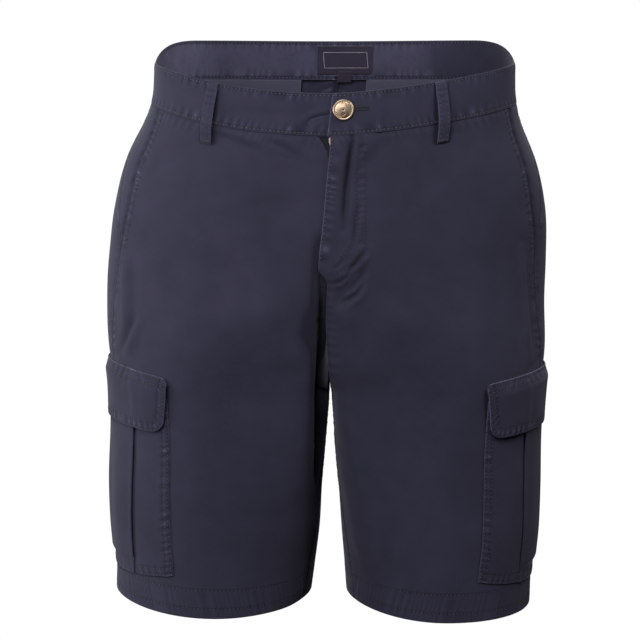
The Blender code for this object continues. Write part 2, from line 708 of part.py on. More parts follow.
def add_pull_tab(frame, brass):
    """The pull tab: an eye round the bridge and a flat tongue hanging below it."""
    pivot = Matrix.Translation(Vector((0, *BRIDGE_MIDDLE)))
    outer = [(-2.3, 1.5), (-2.3, -5), (-1.6, -14.5), (1.6, -14.5), (2.3, -5), (2.3, 1.5)]
    vertices, faces = prism([(x * MM, y * MM) for x, y in outer], -0.3 * MM, 0.3 * MM)
    tab = add_object("zip_pull_tab", vertices, faces, brass)
    window = [(-1.25, 0.5), (-1.25, -3.2), (1.25, -3.2), (1.25, 0.5)]
    vertices, faces = prism([(x * MM, y * MM) for x, y in window], -1 * MM, 1 * MM)
    hole = add_object("tab_eye_cutter", vertices, faces, None)
    cut(tab, hole)
    for thing in (tab, hole):
        thing.matrix_world = frame @ pivot


# ---- belt loops ----


def add_belt_loops(twill):
    """Each loop is tacked at its top and bottom and stands off the waistband between."""
    for loop in LOOPS:
        side = LEFT if loop.x_top >= 0 else RIGHT
        rows_out, rows_in = [], []
        for t in LOOP_STEPS:
            level = LOOP_TOP + (LOOP_BOTTOM - LOOP_TOP) * t
            x = (loop.x_top + (loop.x_bottom - loop.x_top) * t) * MM * side
            middle = arc_at_x(level, x, loop.facing)
            arcs = middle + np.linspace(-0.5, 0.5, 3) * LOOP_WIDTH
            rest = BAND_OUT * ease(level, -50 * MM, -44 * MM) + GAP
            bow = LOOP_STAND_OFF * ease(t, 0.02, 0.14) * ease(t, 0.98, 0.86)
            rows_in.append(surface(side, level, arcs, rest + bow))
            rows_out.append(surface(side, level, arcs, rest + bow + LOOP_WALL))
        add_wall(loop.name, np.array(rows_out), np.array(rows_in), twill)


# ---- pockets ----


def pleat_half(slit):
    """One side of a cargo pocket's cross section, as places across and heights: a strip from
    the edge to the slit, then a fold that runs under the middle box and back."""
    low, middle, high = (SEWN_DOWN + THIN_WALL * (0.5 + 1.3 * layer) for layer in range(3))
    under = slit - PLEAT_DEPTH
    bend = (middle - low) / 2
    half = []
    for t in np.linspace(0, 1, 5):
        half.append((POCKET_HALF + (under - POCKET_HALF) * t, low))
    half.append((under - bend, (low + middle) / 2))
    half += [(under, middle), (slit - BOX_INSET, middle)]
    half.append((slit - BOX_INSET + bend, (middle + high) / 2))
    half.append((slit - BOX_INSET, high))
    for t in BOX_STEPS:
        half.append((slit * (1 - t), high + BOX_CROWN * t))
    return half


def pleat_path(side):
    """The cargo pocket's cross section: place across from the middle, and height of its
    mid-surface, from the front edge to the back one."""
    slit = POCKET_HALF - STRIP_WIDTH
    front = pleat_half(slit + PLEAT_SHIFT[side])
    back = pleat_half(slit - PLEAT_SHIFT[side])
    crown = (0, back[-1][1] + BOX_CROWN * (1 - BOX_STEPS[-1]))
    return np.array(front + [crown] + [(-across, height) for across, height in reversed(back)])


def thick_path(path, wall):
    """The two faces of a cross section's path, half the wall to each side."""
    step = np.gradient(path, axis=0)
    step /= np.linalg.norm(step, axis=1, keepdims=True)
    normal = np.stack([step[:, 1], -step[:, 0]], axis=1)
    return path + normal * wall / 2, path - normal * wall / 2


def pocket_middle(side, level):
    return float(SIDE_SEAM(level)) + POCKET_SHIFT[side]


def add_cargo_pocket(side, twill):
    word = "left" if side == LEFT else "right"
    faces = thick_path(pleat_path(side), THIN_WALL)
    grids = []
    for across, out in (face.T for face in faces):
        sag = POCKET_SAG * (1 - (across / POCKET_HALF) ** 2)
        rows = []
        for t in np.linspace(0, 1, 9):
            level = POCKET_TOP + (POCKET_BOTTOM - POCKET_TOP) * t
            arcs = pocket_middle(side, level) + across
            rows.append(surface(side, level, arcs, out, -sag * t))
        grids.append(np.array(rows))
    add_wall(f"cargo_pocket_{word}", grids[0], grids[1], twill)


def corner_cut(into, radius):
    """How far a rounded corner stands in from its side edge, this far into the corner."""
    into = min(max(into, 0), radius)
    return radius - math.sqrt(radius ** 2 - into ** 2)


def add_flap(side, twill):
    """The flap, sewn above the pocket and lying over it, its corners rounded."""
    word = "left" if side == LEFT else "right"
    straight = FLAP_HEIGHT - FLAP_CORNER
    drops = [straight * t for t in (0, 0.14, 0.28, 0.64, 1.0)]
    drops += [straight + FLAP_CORNER * math.sin(math.radians(turn)) for turn in (30, 55, 90)]
    rows_out, rows_in = [], []
    for drop in drops:
        level = FLAP_TOP - drop
        share = drop / FLAP_HEIGHT
        half = POCKET_HALF + FLAP_OVERHANG - FLAP_TAPER * share
        reach = half - corner_cut(drop - straight, FLAP_CORNER)
        reach -= corner_cut(FLAP_TOP_CORNER - drop, FLAP_TOP_CORNER)
        across = np.linspace(reach, -reach, 15)
        rise = FLAP_RISE[0] + (FLAP_RISE[1] - FLAP_RISE[0]) * share
        lift = rise * (1 - (across / half) ** 2)
        rest = SEWN_DOWN + FLAP_STAND_OFF * float(ease(drop, *FLAP_STEP))
        arcs = pocket_middle(side, level) + across
        rows_in.append(surface(side, level, arcs, rest, lift))
        rows_out.append(surface(side, level, arcs, rest + FLAP_WALL, lift))
    add_wall(f"cargo_flap_{word}", np.array(rows_out), np.array(rows_in), twill)


def add_back_pocket(side, twill, pocket_cloth):
    """The bag inside the back and the welt on its outside."""
    word = "left" if side == LEFT else "right"

    def across(distance):
        return lambda level: arc_at_x(level, 0, "back") + distance

    bag_levels = np.linspace(PANEL_TOP - 1 * MM, BAG_BOTTOM, 7)
    add_panel(
        f"back_pocket_bag_{word}", side, bag_levels, across(BAG_ACROSS[1]), across(BAG_ACROSS[0]),
        10, pocket_cloth, out=-(WALL + BAG_GAP), wall=THIN_WALL,
    )
    welt_levels = np.linspace(WELT_TOP, WELT_TOP - WELT_HEIGHT, 3)
    add_panel(
        f"back_pocket_welt_{word}", side, welt_levels, across(WELT_ACROSS[1]),
        across(WELT_ACROSS[0]), 12, twill, out=WALL + GAP, wall=WALL,
    )


def add_labels(label_cloth):
    """The bare main label and the bare size tab, on the inner face of the waistband's back."""
    for name, size, top, layer in (
        ("main_label", LABEL_SIZE, LABEL_TOP, 0),
        ("size_tab", TAB_SIZE, TAB_TOP, 1),
    ):
        out = BAND_OUT - BAND_WALL - INNER_GAP - layer * (THIN_WALL + GAP)
        levels = np.linspace(top, top - size[1], 3)
        add_panel(
            name, LEFT, levels,
            lambda level, w=size[0]: arc_at_x(level, LABEL_MIDDLE_X - w / 2, "back"),
            lambda level, w=size[0]: arc_at_x(level, LABEL_MIDDLE_X + w / 2, "back"),
            6, label_cloth, out=out, wall=THIN_WALL,
        )


# ---- materials and the whole ----


def finish(name, colour, roughness, metallic=0.0):
    material = bpy.data.materials.new(name)
    material.use_nodes = True
    shader = material.node_tree.nodes["Principled BSDF"]
    shader.inputs["Base Color"].default_value = (*colour, 1)
    shader.inputs["Roughness"].default_value = roughness
    shader.inputs["Metallic"].default_value = metallic
    return material


def main():
    for thing in list(bpy.data.objects):
        bpy.data.objects.remove(thing)
    twill = finish("twill", (0.032, 0.034, 0.062), 0.85)
    pocket_cloth = finish("pocket_cloth", (0.075, 0.08, 0.12), 0.9)
    label_cloth = finish("label_cloth", (0.03, 0.018, 0.045), 0.6)
    tape = finish("zip_tape", (0.02, 0.021, 0.04), 0.8)
    brass = finish("brass", (0.6, 0.36, 0.2), 0.32, 1.0)
    for side in (LEFT, RIGHT):
        add_leg_panels(side, twill)
        add_hip_facing(side, twill)
        add_cargo_pocket(side, twill)
        add_flap(side, twill)
        add_back_pocket(side, twill, pocket_cloth)
    add_waistband(twill)
    add_button(brass)
    add_zip(tape, brass)
    add_belt_loops(twill)
    add_labels(label_cloth)


main()
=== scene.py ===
"""Cargo shorts in washed navy twill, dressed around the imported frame.

Metres, +Z up, the front faces -Y, the wearer's left is at +X. Every cloth piece is a sheet or a
thin shell on the body surface that its solid has. A place on it is a level (height before the
waist's tilt) and an arc from the side's outermost point, positive towards the front.
"""

import math
from collections import namedtuple

import bpy
import numpy as np
from mathutils import Matrix, Vector
from mathutils.bvhtree import BVHTree


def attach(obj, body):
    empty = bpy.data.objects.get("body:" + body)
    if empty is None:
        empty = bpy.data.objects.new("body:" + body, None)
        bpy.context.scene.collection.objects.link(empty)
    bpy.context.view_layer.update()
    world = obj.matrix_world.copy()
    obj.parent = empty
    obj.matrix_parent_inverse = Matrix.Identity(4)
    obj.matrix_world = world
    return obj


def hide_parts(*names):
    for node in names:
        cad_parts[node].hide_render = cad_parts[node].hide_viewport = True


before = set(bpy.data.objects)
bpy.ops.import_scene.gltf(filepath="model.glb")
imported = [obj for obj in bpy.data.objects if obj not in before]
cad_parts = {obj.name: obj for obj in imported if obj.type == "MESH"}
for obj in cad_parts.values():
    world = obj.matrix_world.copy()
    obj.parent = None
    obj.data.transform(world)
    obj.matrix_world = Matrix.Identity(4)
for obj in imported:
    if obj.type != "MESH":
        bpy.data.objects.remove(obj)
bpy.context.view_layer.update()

MM = 0.001
GAP = 0.3 * MM
LEFT, RIGHT = 1, -1  # the wearer's sides
BODY = "shorts"

# ---- sizes, as in the solids ----

WALL, THIN_WALL, BAND_WALL, LOOP_WALL, FLAP_WALL = 1.6 * MM, 1.0 * MM, 2.4 * MM, 1.8 * MM, 2.0 * MM
BAG_GAP = 1.7 * MM
BAND_HEIGHT, BAND_OUT = 40 * MM, 0.8 * MM
FULL_LENGTH, HEM_HEIGHT = 520 * MM, 31 * MM
CROTCH_LEVEL, CLEFT_LEVEL = -298 * MM, -160 * MM
PARTING_SOFT, PARTING_ROUND = 0.35, 0.06
PARTING_WHOLE = math.hypot(1, PARTING_ROUND) - PARTING_ROUND
WAIST_RISE, SIDE_RISE, BACK_RISE_BEGINS, BACK_RISE_ENDS = 37 * MM, 22.5 * MM, 0.5, 0.85
SIDE_RISE_POWER = {LEFT: 1.35, RIGHT: 2.1}
RISE_LEFT, BACK_CORNER_RISE = 0.018, 4 * MM
WAIST_RISE_FADE = (-40 * MM, -260 * MM)
HEM_RISE_INNER = 8 * MM
HEM_RISE_OUTER = {LEFT: 0 * MM, RIGHT: 8 * MM}
HEM_RISE_FADE = (-440 * MM, -520 * MM)

Section = namedtuple("Section", "level side front back square corner gap sway push")
SECTIONS = (
    Section(-520, 210, 101, 95, 2.0, 2.0, 18.4, 0, 6),
    Section(-475, 210.5, 103, 99, 2.05, 2.1, 14, 0.5, 6),
    Section(-442, 212.5, 105, 104, 2.1, 2.4, 11, 0.5, 6),
    Section(-400, 213.5, 107, 110, 2.1, 3.0, 8.6, 0, 5.5),
    Section(-340, 213, 111, 118, 2.1, 5.5, 4, 0, 4.5),
    Section(-298, 214.5, 116, 126, 2.1, 8.0, 0.9, 0, 3.5),
    Section(-256, 218.5, 124, 135, 2.1, 8.0, 0, -1, 1),
    Section(-215, 218.5, 131, 142, 2.1, 5.0, 0, -2.5, 0),
    Section(-175, 217.5, 134, 144, 2.15, 2.4, 0, -1.5, 0),
    Section(-135, 214, 135, 142, 2.2, 2.2, 0, 0, 0),
    Section(-95, 203.5, 134, 136, 2.25, 2.25, 0, 0.3, 0),
    Section(-60, 186.5, 132, 128, 2.3, 2.3, 0, 1.2, 0),
    Section(-40, 179.5, 129, 121, 2.35, 2.35, 0, 2, 0),
    Section(0, 176.5, 125, 115, 2.4, 2.4, 0, 2.3, 0),
)
Edge = namedtuple("Edge", "level side_seam pocket_mouth")
SIDE_EDGES = (
    Edge(-520, 33, 33), Edge(-400, 37, 37), Edge(-300, 41.5, 41.5), Edge(-256, 46, 46),
    Edge(-215, 51, 51), Edge(-170, 56, 56), Edge(-130, 42, 62.5), Edge(-85, 20, 61),
    Edge(-40, -12, 57), Edge(0, -16, 57),
)
MOUTH_END = -170 * MM
INSEAM_FORWARD, INSEAM_FADE = 40 * MM, 150 * MM
Lap = namedtuple("Lap", "level over under")
FLY_EDGES = (
    Lap(-165, -9.5, -5.5), Lap(-147, -9, -5), Lap(-110, -6, -2), Lap(-75, -4, -1),
    Lap(-58, -3, -4), Lap(-54, -3, -5.5), Lap(-40, -3, -15),
)
FLY_END = -165 * MM
FLY_OUT_TOP, FLY_OUT_LOW = 3.7 * MM, 2.5 * MM
FLY_RAMP = (10 * MM, 34 * MM)
OVER_END_X, UNDER_END_X = (-2 * MM, -6 * MM), 36 * MM
OVER_END_OUT = BAND_OUT + BAND_WALL + 2 * GAP
OVER_RAMP = (40 * MM, 56 * MM)
BUTTON_X, BUTTON_LEVEL, BUTTONHOLE_END_X = 8.3 * MM, -16 * MM, 31 * MM
ZIP_X, TAPE_OUT, TAPE_WIDTH = -0.5 * MM, -(WALL + GAP), 13 * MM
POCKET_TOP, POCKET_BOTTOM, POCKET_SAG = -296 * MM, -479 * MM, 10 * MM
POCKET_HALF, POCKET_SHIFT = 92 * MM, {LEFT: -4.5 * MM, RIGHT: -7.3 * MM}
STRIP_WIDTH, PLEAT_DEPTH, BOX_INSET, BOX_CROWN = 47 * MM, 9 * MM, 1 * MM, 0.4 * MM
PLEAT_SHIFT = {LEFT: -6.4 * MM, RIGHT: 6.4 * MM}
FLAP_TOP, FLAP_RISE, FLAP_HEIGHT = -279 * MM, (6.5 * MM, 3.5 * MM), 55.5 * MM
FLAP_CORNER, FLAP_TOP_CORNER, FLAP_OVERHANG, FLAP_TAPER = 13 * MM, 6 * MM, 4 * MM, 9 * MM
SEWN_DOWN, FLAP_STAND_OFF, FLAP_STEP = 0.5 * MM, 4.0 * MM, (1 * MM, 12.5 * MM)
LOOP_WIDTH, LOOP_BOTTOM = 11.5 * MM, -58 * MM
Loop = namedtuple("Loop", "name facing x_top x_bottom")
LOOPS = (
    Loop("belt_loop_front_right", "front", -115, -120),
    Loop("belt_loop_front_left", "front", 100, 104),
    Loop("belt_loop_back_right", "back", -112, -114),
    Loop("belt_loop_back_left", "back", 112, 114),
    Loop("belt_loop_back_middle", "back", 0, 0),
)
BAG_ACROSS, BAG_BOTTOM = (34 * MM, 166 * MM), -205 * MM
WELT_ACROSS, WELT_TOP, WELT_HEIGHT = (38 * MM, 160 * MM), -100 * MM, 13 * MM
LABEL_MIDDLE_X, LABEL_SIZE, LABEL_TOP = 11 * MM, (57 * MM, 29 * MM), -5 * MM
TAB_SIZE, TAB_TOP = (14 * MM, 11 * MM), -31 * MM

Fold = namedtuple("Fold", "facing x_top z_top x_end z_end width height")
FOLDS = (
    Fold("front", 17, -48, 10, -165, 9, -3.0),
    Fold("front", 30, -160, 8, -205, 10, -3.5),
    Fold("front", -62, -196, -30, -262, 22, 2.0),
    Fold("front", 70, -205, 32, -275, 22, 2.0),
    Fold("front", -26, -330, -34, -515, 14, 2.5),
    Fold("front", 26, -330, 52, -480, 14, 2.5),
    Fold("front", -200, -170, -196, -255, 9, 2.5),
    Fold("front", 150, -200, 120, -420, 30, 2.0),
    Fold("front", -140, -190, -110, -420, 30, 2.0),
    Fold("back", -120, -205, -25, -262, 18, -3.5),
    Fold("back", 120, -205, 25, -262, 18, -3.5),
    Fold("back", -60, -300, -90, -470, 26, 2.5),
    Fold("back", 60, -300, 90, -470, 26, 2.5),
)

# ---- creases and puckers, finer than the solids ----

# Creases on one piece: a soft trough or ridge along a run of (x, z) places seen from the front or
# back, in millimetres, with its half width and height. A lee ridge beside it goes with a trough.
Crease = namedtuple("Crease", "run width height lee")
CREASES = {
    "front_left": (
        Crease(((19.5, -41), (17, -62), (14.2, -92), (12.6, -128)), 3.1, -3.4, 0.4),
        Crease(((26.5, -104), (24, -126), (21.5, -146)), 2.6, -1.8, 0.5),
        Crease(((35, -148), (27, -159), (18, -168)), 2.6, -1.7, 0.7),
        Crease(((34, -168), (27, -179), (20, -187)), 2.6, -1.7, 0.7),
        Crease(((33, -178), (27, -190), (14, -200)), 2.6, -2.2, 0.5),
        Crease(((14, -156), (9, -163), (3, -166)), 1.8, -1.2, 0.6),
        Crease(((18, -172), (11, -178), (4, -180)), 2.0, -1.2, 0.6),
        Crease(((28, -48), (26.5, -58)), 2.6, -1.4, 0.4),
        Crease(((20, -44), (18.5, -60), (16.5, -84)), 1.5, -1.6, 0.0),
        Crease(((20, -150), (12, -166), (2, -172)), 3.0, -1.0, 0.6),
        Crease(((150, -60), (120, -84), (96, -96)), 12, 0.9, 0.0),
        Crease(((60, -50), (66, -92), (58, -130)), 14, 0.9, 0.0),
        Crease(((186, -150), (191, -200), (198, -262)), 3.6, 2.2, 0.7),
        Crease(((12, -352), (24, -399), (33, -445), (47, -489)), 6.0, 1.5, 0.0),
    ),
    "front_right": (
        Crease(((-108, -42), (-94, -46), (-80, -51), (-66, -56)), 3.0, -1.3, 0.8),
        Crease(((-59, -45), (-44, -52), (-28, -60)), 3.0, -1.2, 0.8),
        Crease(((-54, -57), (-40, -61), (-26, -64)), 3.2, -0.6, 0.6),
        Crease(((-197, -168), (-196, -208), (-195.5, -238)), 4.0, 1.6, 0.5),
        Crease(((-188, -222), (-195, -243), (-203, -261)), 3.4, -1.8, 0.8),
        Crease(((-10, -292), (-12, -348), (-16, -398), (-20, -456), (-24, -500)), 6, 1.6, 0),
        Crease(((-150, -70), (-128, -120), (-120, -170)), 16, 0.9, 0.0),
    ),
    "waistband_front_right": (
        Crease(((-98, -17), (-62, -19), (-26, -20)), 4.5, -0.45, 0.0),
        Crease(((-24, -31), (-19, -26), (-10, -23), (6, -21)), 2.6, -1.5, 0.7),
    ),
    "back_left": (
        Crease(((30, -190), (62, -214), (96, -222)), 5.0, -1.6, 0.8),
        Crease(((22, -232), (48, -256), (70, -262)), 5.0, -1.8, 0.8),
        Crease(((60, -60), (52, -88), (40, -104)), 9, 1.0, 0.0),
    ),
    "back_right": (
        Crease(((-34, -186), (-70, -206), (-104, -210)), 5.0, -1.6, 0.8),
        Crease(((-20, -240), (-44, -258), (-74, -268)), 5.0, -1.8, 0.8),
        Crease(((-70, -58), (-58, -84), (-50, -102)), 9, 1.0, 0.0),
    ),
}

# Puckers across a seam: which edge of the piece, the levels between which they run, the sewn band's
# width, the puckers' pitch and height, how far they fade out beyond, and how much they lean.
# Millimetres.
Pucker = namedtuple("Pucker", "edge high low band pitch height fade lean seed")

# Stitch rows on one piece: the edge they follow, the levels between which they run and how far in.
Row = namedtuple("Row", "edge high low inset")

STITCH_PITCH, STITCH_LENGTH = 3.9 * MM, 2.6 * MM
THREAD_RADIUS = {"thread": 0.32 * MM, "band_thread": 0.42 * MM, "fly_thread": 0.28 * MM}
SHELL = 1.1 * MM  # thickness of one layer of twill
UNDERLAP = 5 * MM  # how far a panel runs in under its neighbour at a seam
SEAM_STEP = 1.5 * MM  # and how far it drops there


# ---- small helpers ----


def ease(value, start, end):
    """0 before start, 1 after end, and smooth between."""
    t = np.clip((value - start) / (end - start), 0, 1)
    return t * t * (3 - 2 * t)


def bell(distance, width):
    """1 at no distance, falling smoothly to nothing on both sides."""
    return np.exp(-((distance / width) ** 2))


def unit(vectors):
    return vectors / np.maximum(np.linalg.norm(vectors, axis=-1, keepdims=True), 1e-12)


def lengths_along(points):
    """Distances along a run of points, from 0 at its first."""
    return np.concatenate([[0], np.cumsum(np.linalg.norm(np.diff(points, axis=0), axis=1))])


def each(function, levels):
    """A function's value at each level, as a column."""
    return np.array([function(level) for level in levels])[:, None]


def nowhere(level):
    return 0.0


def word(side):
    return "left" if side == LEFT else "right"


def wander(seed, place):
    """Smooth noise between -1 and 1 along a line, a new value at each whole number."""
    table = np.random.RandomState(seed).uniform(-1, 1, 257)
    cell = np.floor(place).astype(int)
    return table[cell % 256] + (table[(cell + 1) % 256] - table[cell % 256]) * ease(place - cell, 0, 1)


# ---- the body surface ----


def smooth_column(table, column):
    """A smooth curve through one column of a table, in metres, read by level."""
    levels = np.array([row.level for row in table]) * MM
    values = np.array([getattr(row, column) for row in table], float)
    if column not in ("square", "corner"):
        values = values * MM
    slopes = np.gradient(values, levels)

    def curve(level):
        level = np.clip(level, levels[0], levels[-1])
        row = np.clip(np.searchsorted(levels, level) - 1, 0, len(levels) - 2)
        span = levels[row + 1] - levels[row]
        t = (level - levels[row]) / span
        start = values[row] * (1 + 2 * t) * (1 - t) ** 2 + slopes[row] * span * t * (1 - t) ** 2
        end = values[row + 1] * t * t * (3 - 2 * t) + slopes[row + 1] * span * t * t * (t - 1)
        return start + end

    return curve


(SIDE_REACH, FRONT_REACH, BACK_REACH, SQUARENESS, CORNER_SQUARENESS, LEG_GAP, SWAY, MIDDLE_PUSH) = (
    smooth_column(SECTIONS, column) for column in Section._fields[1:])
SIDE_SEAM, POCKET_MOUTH = (smooth_column(SIDE_EDGES, column) for column in Edge._fields[1:])


def parting(level):
    """How far the legs are apart: 0 above the cleft, 1 below the crotch, with a soft start."""
    t = np.clip((CLEFT_LEVEL - level) / (CLEFT_LEVEL - CROTCH_LEVEL), 0, 1)
    t = np.where(t < PARTING_SOFT, t * t / (2 * PARTING_SOFT), t - PARTING_SOFT / 2)
    left = 1 - t / (1 - PARTING_SOFT / 2)
    left = (np.hypot(left, PARTING_ROUND) - PARTING_ROUND) / PARTING_WHOLE
    return 1 - left ** 1.6


def oval(level):
    side = SIDE_REACH(level)
    inner = -side + parting(level) * (side + LEG_GAP(level))
    return (side + inner) / 2, (side - inner) / 2, SQUARENESS(level)


def base_point(level, angle):
    """A point of the wearer's left half; the angle runs from the side, positive to the front."""
    middle, half, square = oval(level)
    cosine, sine = np.cos(angle), np.sin(angle)
    square = np.where((cosine < 0) & (sine > 0), CORNER_SQUARENESS(level), square)
    x = middle + half * np.sign(cosine) * np.abs(cosine) ** (2 / square)
    depth = np.where(sine > 0, FRONT_REACH(level), BACK_REACH(level))
    y = -depth * np.sign(sine) * np.abs(sine) ** (2 / square)
    return np.stack([x, y, level], axis=-1)


def body_point(side, level, angle):
    """A point of either half, mirrored there and moved by the rise of the waist and hems."""
    x, y, level = np.moveaxis(base_point(level, angle) * np.array([side, 1, 1]), -1, 0)
    waist = SECTIONS[-1]
    depth = (y + waist.front * MM) / ((waist.front + waist.back) * MM)
    across = x / SIDE_REACH(level)
    power = np.where(x > 0, SIDE_RISE_POWER[LEFT], SIDE_RISE_POWER[RIGHT])
    rise = SIDE_RISE * np.where(y < 0, np.abs(across) ** power, 1)
    rise = rise + (WAIST_RISE - SIDE_RISE) * ease(depth, BACK_RISE_BEGINS, BACK_RISE_ENDS)
    corner = BACK_CORNER_RISE * (x / (waist.side * MM)) ** 2
    rise = rise + RISE_LEFT * x + corner * ease(y, -20 * MM, 60 * MM)
    z = level + rise * ease(level, WAIST_RISE_FADE[1], WAIST_RISE_FADE[0])
    hem_rise = np.where(np.cos(angle) > 0, HEM_RISE_OUTER[side], HEM_RISE_INNER)
    z = z + hem_rise * np.cos(angle) ** 2 * ease(level, *HEM_RISE_FADE)
    middle = MIDDLE_PUSH(level) * np.clip(1 - across ** 2, 0, 1)
    return np.stack([x + SWAY(level) + middle, y, z], axis=-1)


def body_normal(side, level, angle):
    turn, rise = 0.004, 0.4 * MM
    along = body_point(side, level, angle + turn) - body_point(side, level, angle - turn)
    up = body_point(side, level + rise, angle) - body_point(side, level - rise, angle)
    return unit(np.cross(up, along) * side)


ARC_TABLES = {}
ARC_ANGLES = np.linspace(-1.3 * math.pi, 1.2 * math.pi, 501)


def arc_table(level):
    """Angles around a section and their arc lengths from the side's outermost point."""
    key = round(float(level), 7)
    if key not in ARC_TABLES:
        arcs = lengths_along(base_point(np.full_like(ARC_ANGLES, level), ARC_ANGLES))
        ARC_TABLES[key] = ARC_ANGLES, arcs - np.interp(0, ARC_ANGLES, arcs)
    return ARC_TABLES[key]


def angle_at_x(level, x, facing):
    middle, half, square = oval(level)
    across = np.clip((x - middle) / half, -1, 1)
    if facing == "front" and across < 0:
        square = CORNER_SQUARENESS(level)
    angle = math.acos(np.sign(across) * abs(across) ** (square / 2))
    return angle if facing == "front" else -angle


def arc_at_x(level, x, facing):
    angles, arcs = arc_table(level)
    return float(np.interp(angle_at_x(level, x, facing), angles, arcs))


def fold_height(points):
    """The large folds' height at each point, as in the solids."""
    total = np.zeros(points.shape[:-1])
    for fold in FOLDS:
        start = np.array([fold.x_top, fold.z_top]) * MM
        run = np.array([fold.x_end, fold.z_end]) * MM - start
        offset = points[..., (0, 2)] - start
        along = offset @ run / (run @ run)
        across = (offset @ np.array([-run[1], run[0]])) / np.linalg.norm(run)
        length_fade = ease(along, -0.15, 0.2) * ease(along, 1.15, 0.8)
        facing = points[..., 1] < 0 if fold.facing == "front" else points[..., 1] > 0
        shape = bell(across, fold.width * MM) * length_fade
        total += np.where(facing, fold.height * MM * shape, 0)
    beside_seam = ease(np.abs(points[..., 0]), 0, 10 * MM)
    return np.where(points[..., 2] > FLY_END, total, total * beside_seam)


def slackness(points):
    """Soft unevenness that all layers share, from the place seen from the front or back."""
    x, y, z = np.moveaxis(points / MM, -1, 0)
    around = x + 0.7 * y
    broad = wander(11, around / 46 + 0.35 * wander(12, z / 60)) * wander(13, z / 70)
    slanted = wander(14, (around * 0.8 + z * 0.5) / 30) * wander(15, (z - 0.4 * around) / 55)
    return (0.8 * broad + 0.45 * slanted) * MM


Ground = namedtuple("Ground", "points normals height x")


def surface(side, levels, arcs, lift=0.0):
    """The body at each level's arcs: points, normals, the soft height on them, and the distance
    from the middle on that side. lift moves each point along the body."""
    angle = np.empty_like(arcs)
    for row, level in enumerate(levels):
        angles, lengths = arc_table(level)
        angle[row] = np.interp(arcs[row], lengths, angles)
    levels = np.broadcast_to(np.asarray(levels)[:, None], arcs.shape) + lift
    points, normals = body_point(side, levels, angle), body_normal(side, levels, angle)
    fade = ease(points[..., 2], 45 * MM, -70 * MM)
    height = fold_height(points) + slackness(points) * fade
    return Ground(points, normals, height, base_point(levels, angle)[..., 0])


# ---- edges of the leg panels ----


def lap_edge(level, which):
    levels = [row.level * MM for row in FLY_EDGES]
    return float(np.interp(level, levels, [getattr(row, which) * MM for row in FLY_EDGES]))


def centre_edge(level, facing):
    """Arc of the centre seam, or of the inseam below the crotch."""
    if level > CROTCH_LEVEL:
        return arc_at_x(level, 0, facing)
    forward = INSEAM_FORWARD * float(ease(level, CROTCH_LEVEL, CROTCH_LEVEL - INSEAM_FADE))
    angles, arcs = arc_table(level)
    return float(np.interp(math.pi if facing == "front" else -math.pi, angles, arcs)) - forward


def past_fly(level):
    """1 below the fly's end, 0 well above it."""
    return float(ease(level, FLY_END + 16 * MM, FLY_END))


LAP_END = -181 * MM  # below the fly the left front's edge steps back to the centre by here


def lap_below(level):
    """How far the left front still laps past the centre, below the fly."""
    return -FLY_EDGES[0].over * MM * float(ease(level, LAP_END, FLY_END))


def front_start(level, side):
    """Arc of the front panel's inner edge, which laps the other panel's along the fly."""
    if level < FLY_END:
        if side == LEFT and level > LAP_END:
            return arc_at_x(level, -lap_below(level), "front")
        under = UNDERLAP * float(ease(level, CROTCH_LEVEL, CROTCH_LEVEL + 30 * MM))
        return centre_edge(level, "front") + (0 if side == LEFT else under)
    x = lap_edge(level, "over") if side == LEFT else -lap_edge(level, "under")
    start = arc_at_x(level, x, "front")
    if side == RIGHT:
        start = start + (centre_edge(level, "front") + UNDERLAP - start) * past_fly(level)
    return start


def front_end(level):
    seam = float(SIDE_SEAM(level))
    mouth = float(POCKET_MOUTH(level)) if level > MOUTH_END else seam
    return max(mouth, seam)


def back_under(level, side):
    """The right back runs in under the left one; both run in under the fronts at the inseam."""
    above = float(ease(level, CROTCH_LEVEL - 4 * MM, CROTCH_LEVEL + 30 * MM))
    return UNDERLAP if side == RIGHT else UNDERLAP * (1 - above)


BAND_WIDENS = (-75 * MM, -44 * MM)  # near the band the fly's raised part is as wide as its end


def fly_out(level, x):
    height = FLY_OUT_LOW + (FLY_OUT_TOP - FLY_OUT_LOW) * ease(level, -85 * MM, -68 * MM)
    height = height * ease(level, FLY_END - 24 * MM, FLY_END - 1 * MM)
    wider = (OVER_RAMP[1] - FLY_RAMP[1]) * ease(level, *BAND_WIDENS)
    return height * ease(x, FLY_RAMP[1] + wider, FLY_RAMP[0] + wider)


# ---- patches of cloth ----


class Patch:
    """A grid of points with its rows' and columns' places, for sewing on."""

    def __init__(self, grid, rows, columns, normals, wear, outer=None):
        self.grid, self.rows, self.columns, self.wear = grid, rows, columns, wear
        self.outer = np.arange(len(rows)) if outer is None else outer
        self.span = self.rows[self.outer].max(), self.rows[self.outer].min()
        self.under = None
        along, down = np.gradient(grid, axis=1), np.gradient(grid, axis=0)
        normal = unit(np.cross(along, down))
        middle = self.outer[len(self.outer) // 2]
        self.flipped = float((normal[middle] * normals[middle]).sum()) < 0
        self.normals = -normal if self.flipped else normal

    def at(self, row_place, column_place):
        """Position and outward normal at a place given in the rows' and columns' units."""
        rows = self.rows[self.outer]
        falls = rows[0] > rows[-1]
        r = float(np.interp(-row_place if falls else row_place, -rows if falls else rows,
                            np.arange(len(rows))))
        low = min(int(r), len(rows) - 2)
        place, normal = np.zeros(3), np.zeros(3)
        for step, share in ((0, 1 - (r - low)), (1, r - low)):
            row = self.outer[low + step]
            line = self.columns[row]
            sign = -1 if line[0] > line[-1] else 1
            c = float(np.interp(sign * column_place, sign * line, np.arange(len(line))))
            left = min(int(c), len(line) - 2)
            for column, part in ((left, 1 - (c - left)), (left + 1, c - left)):
                place += share * part * self.grid[row, column]
                normal += share * part * self.normals[row, column]
        return place, normal / np.linalg.norm(normal)


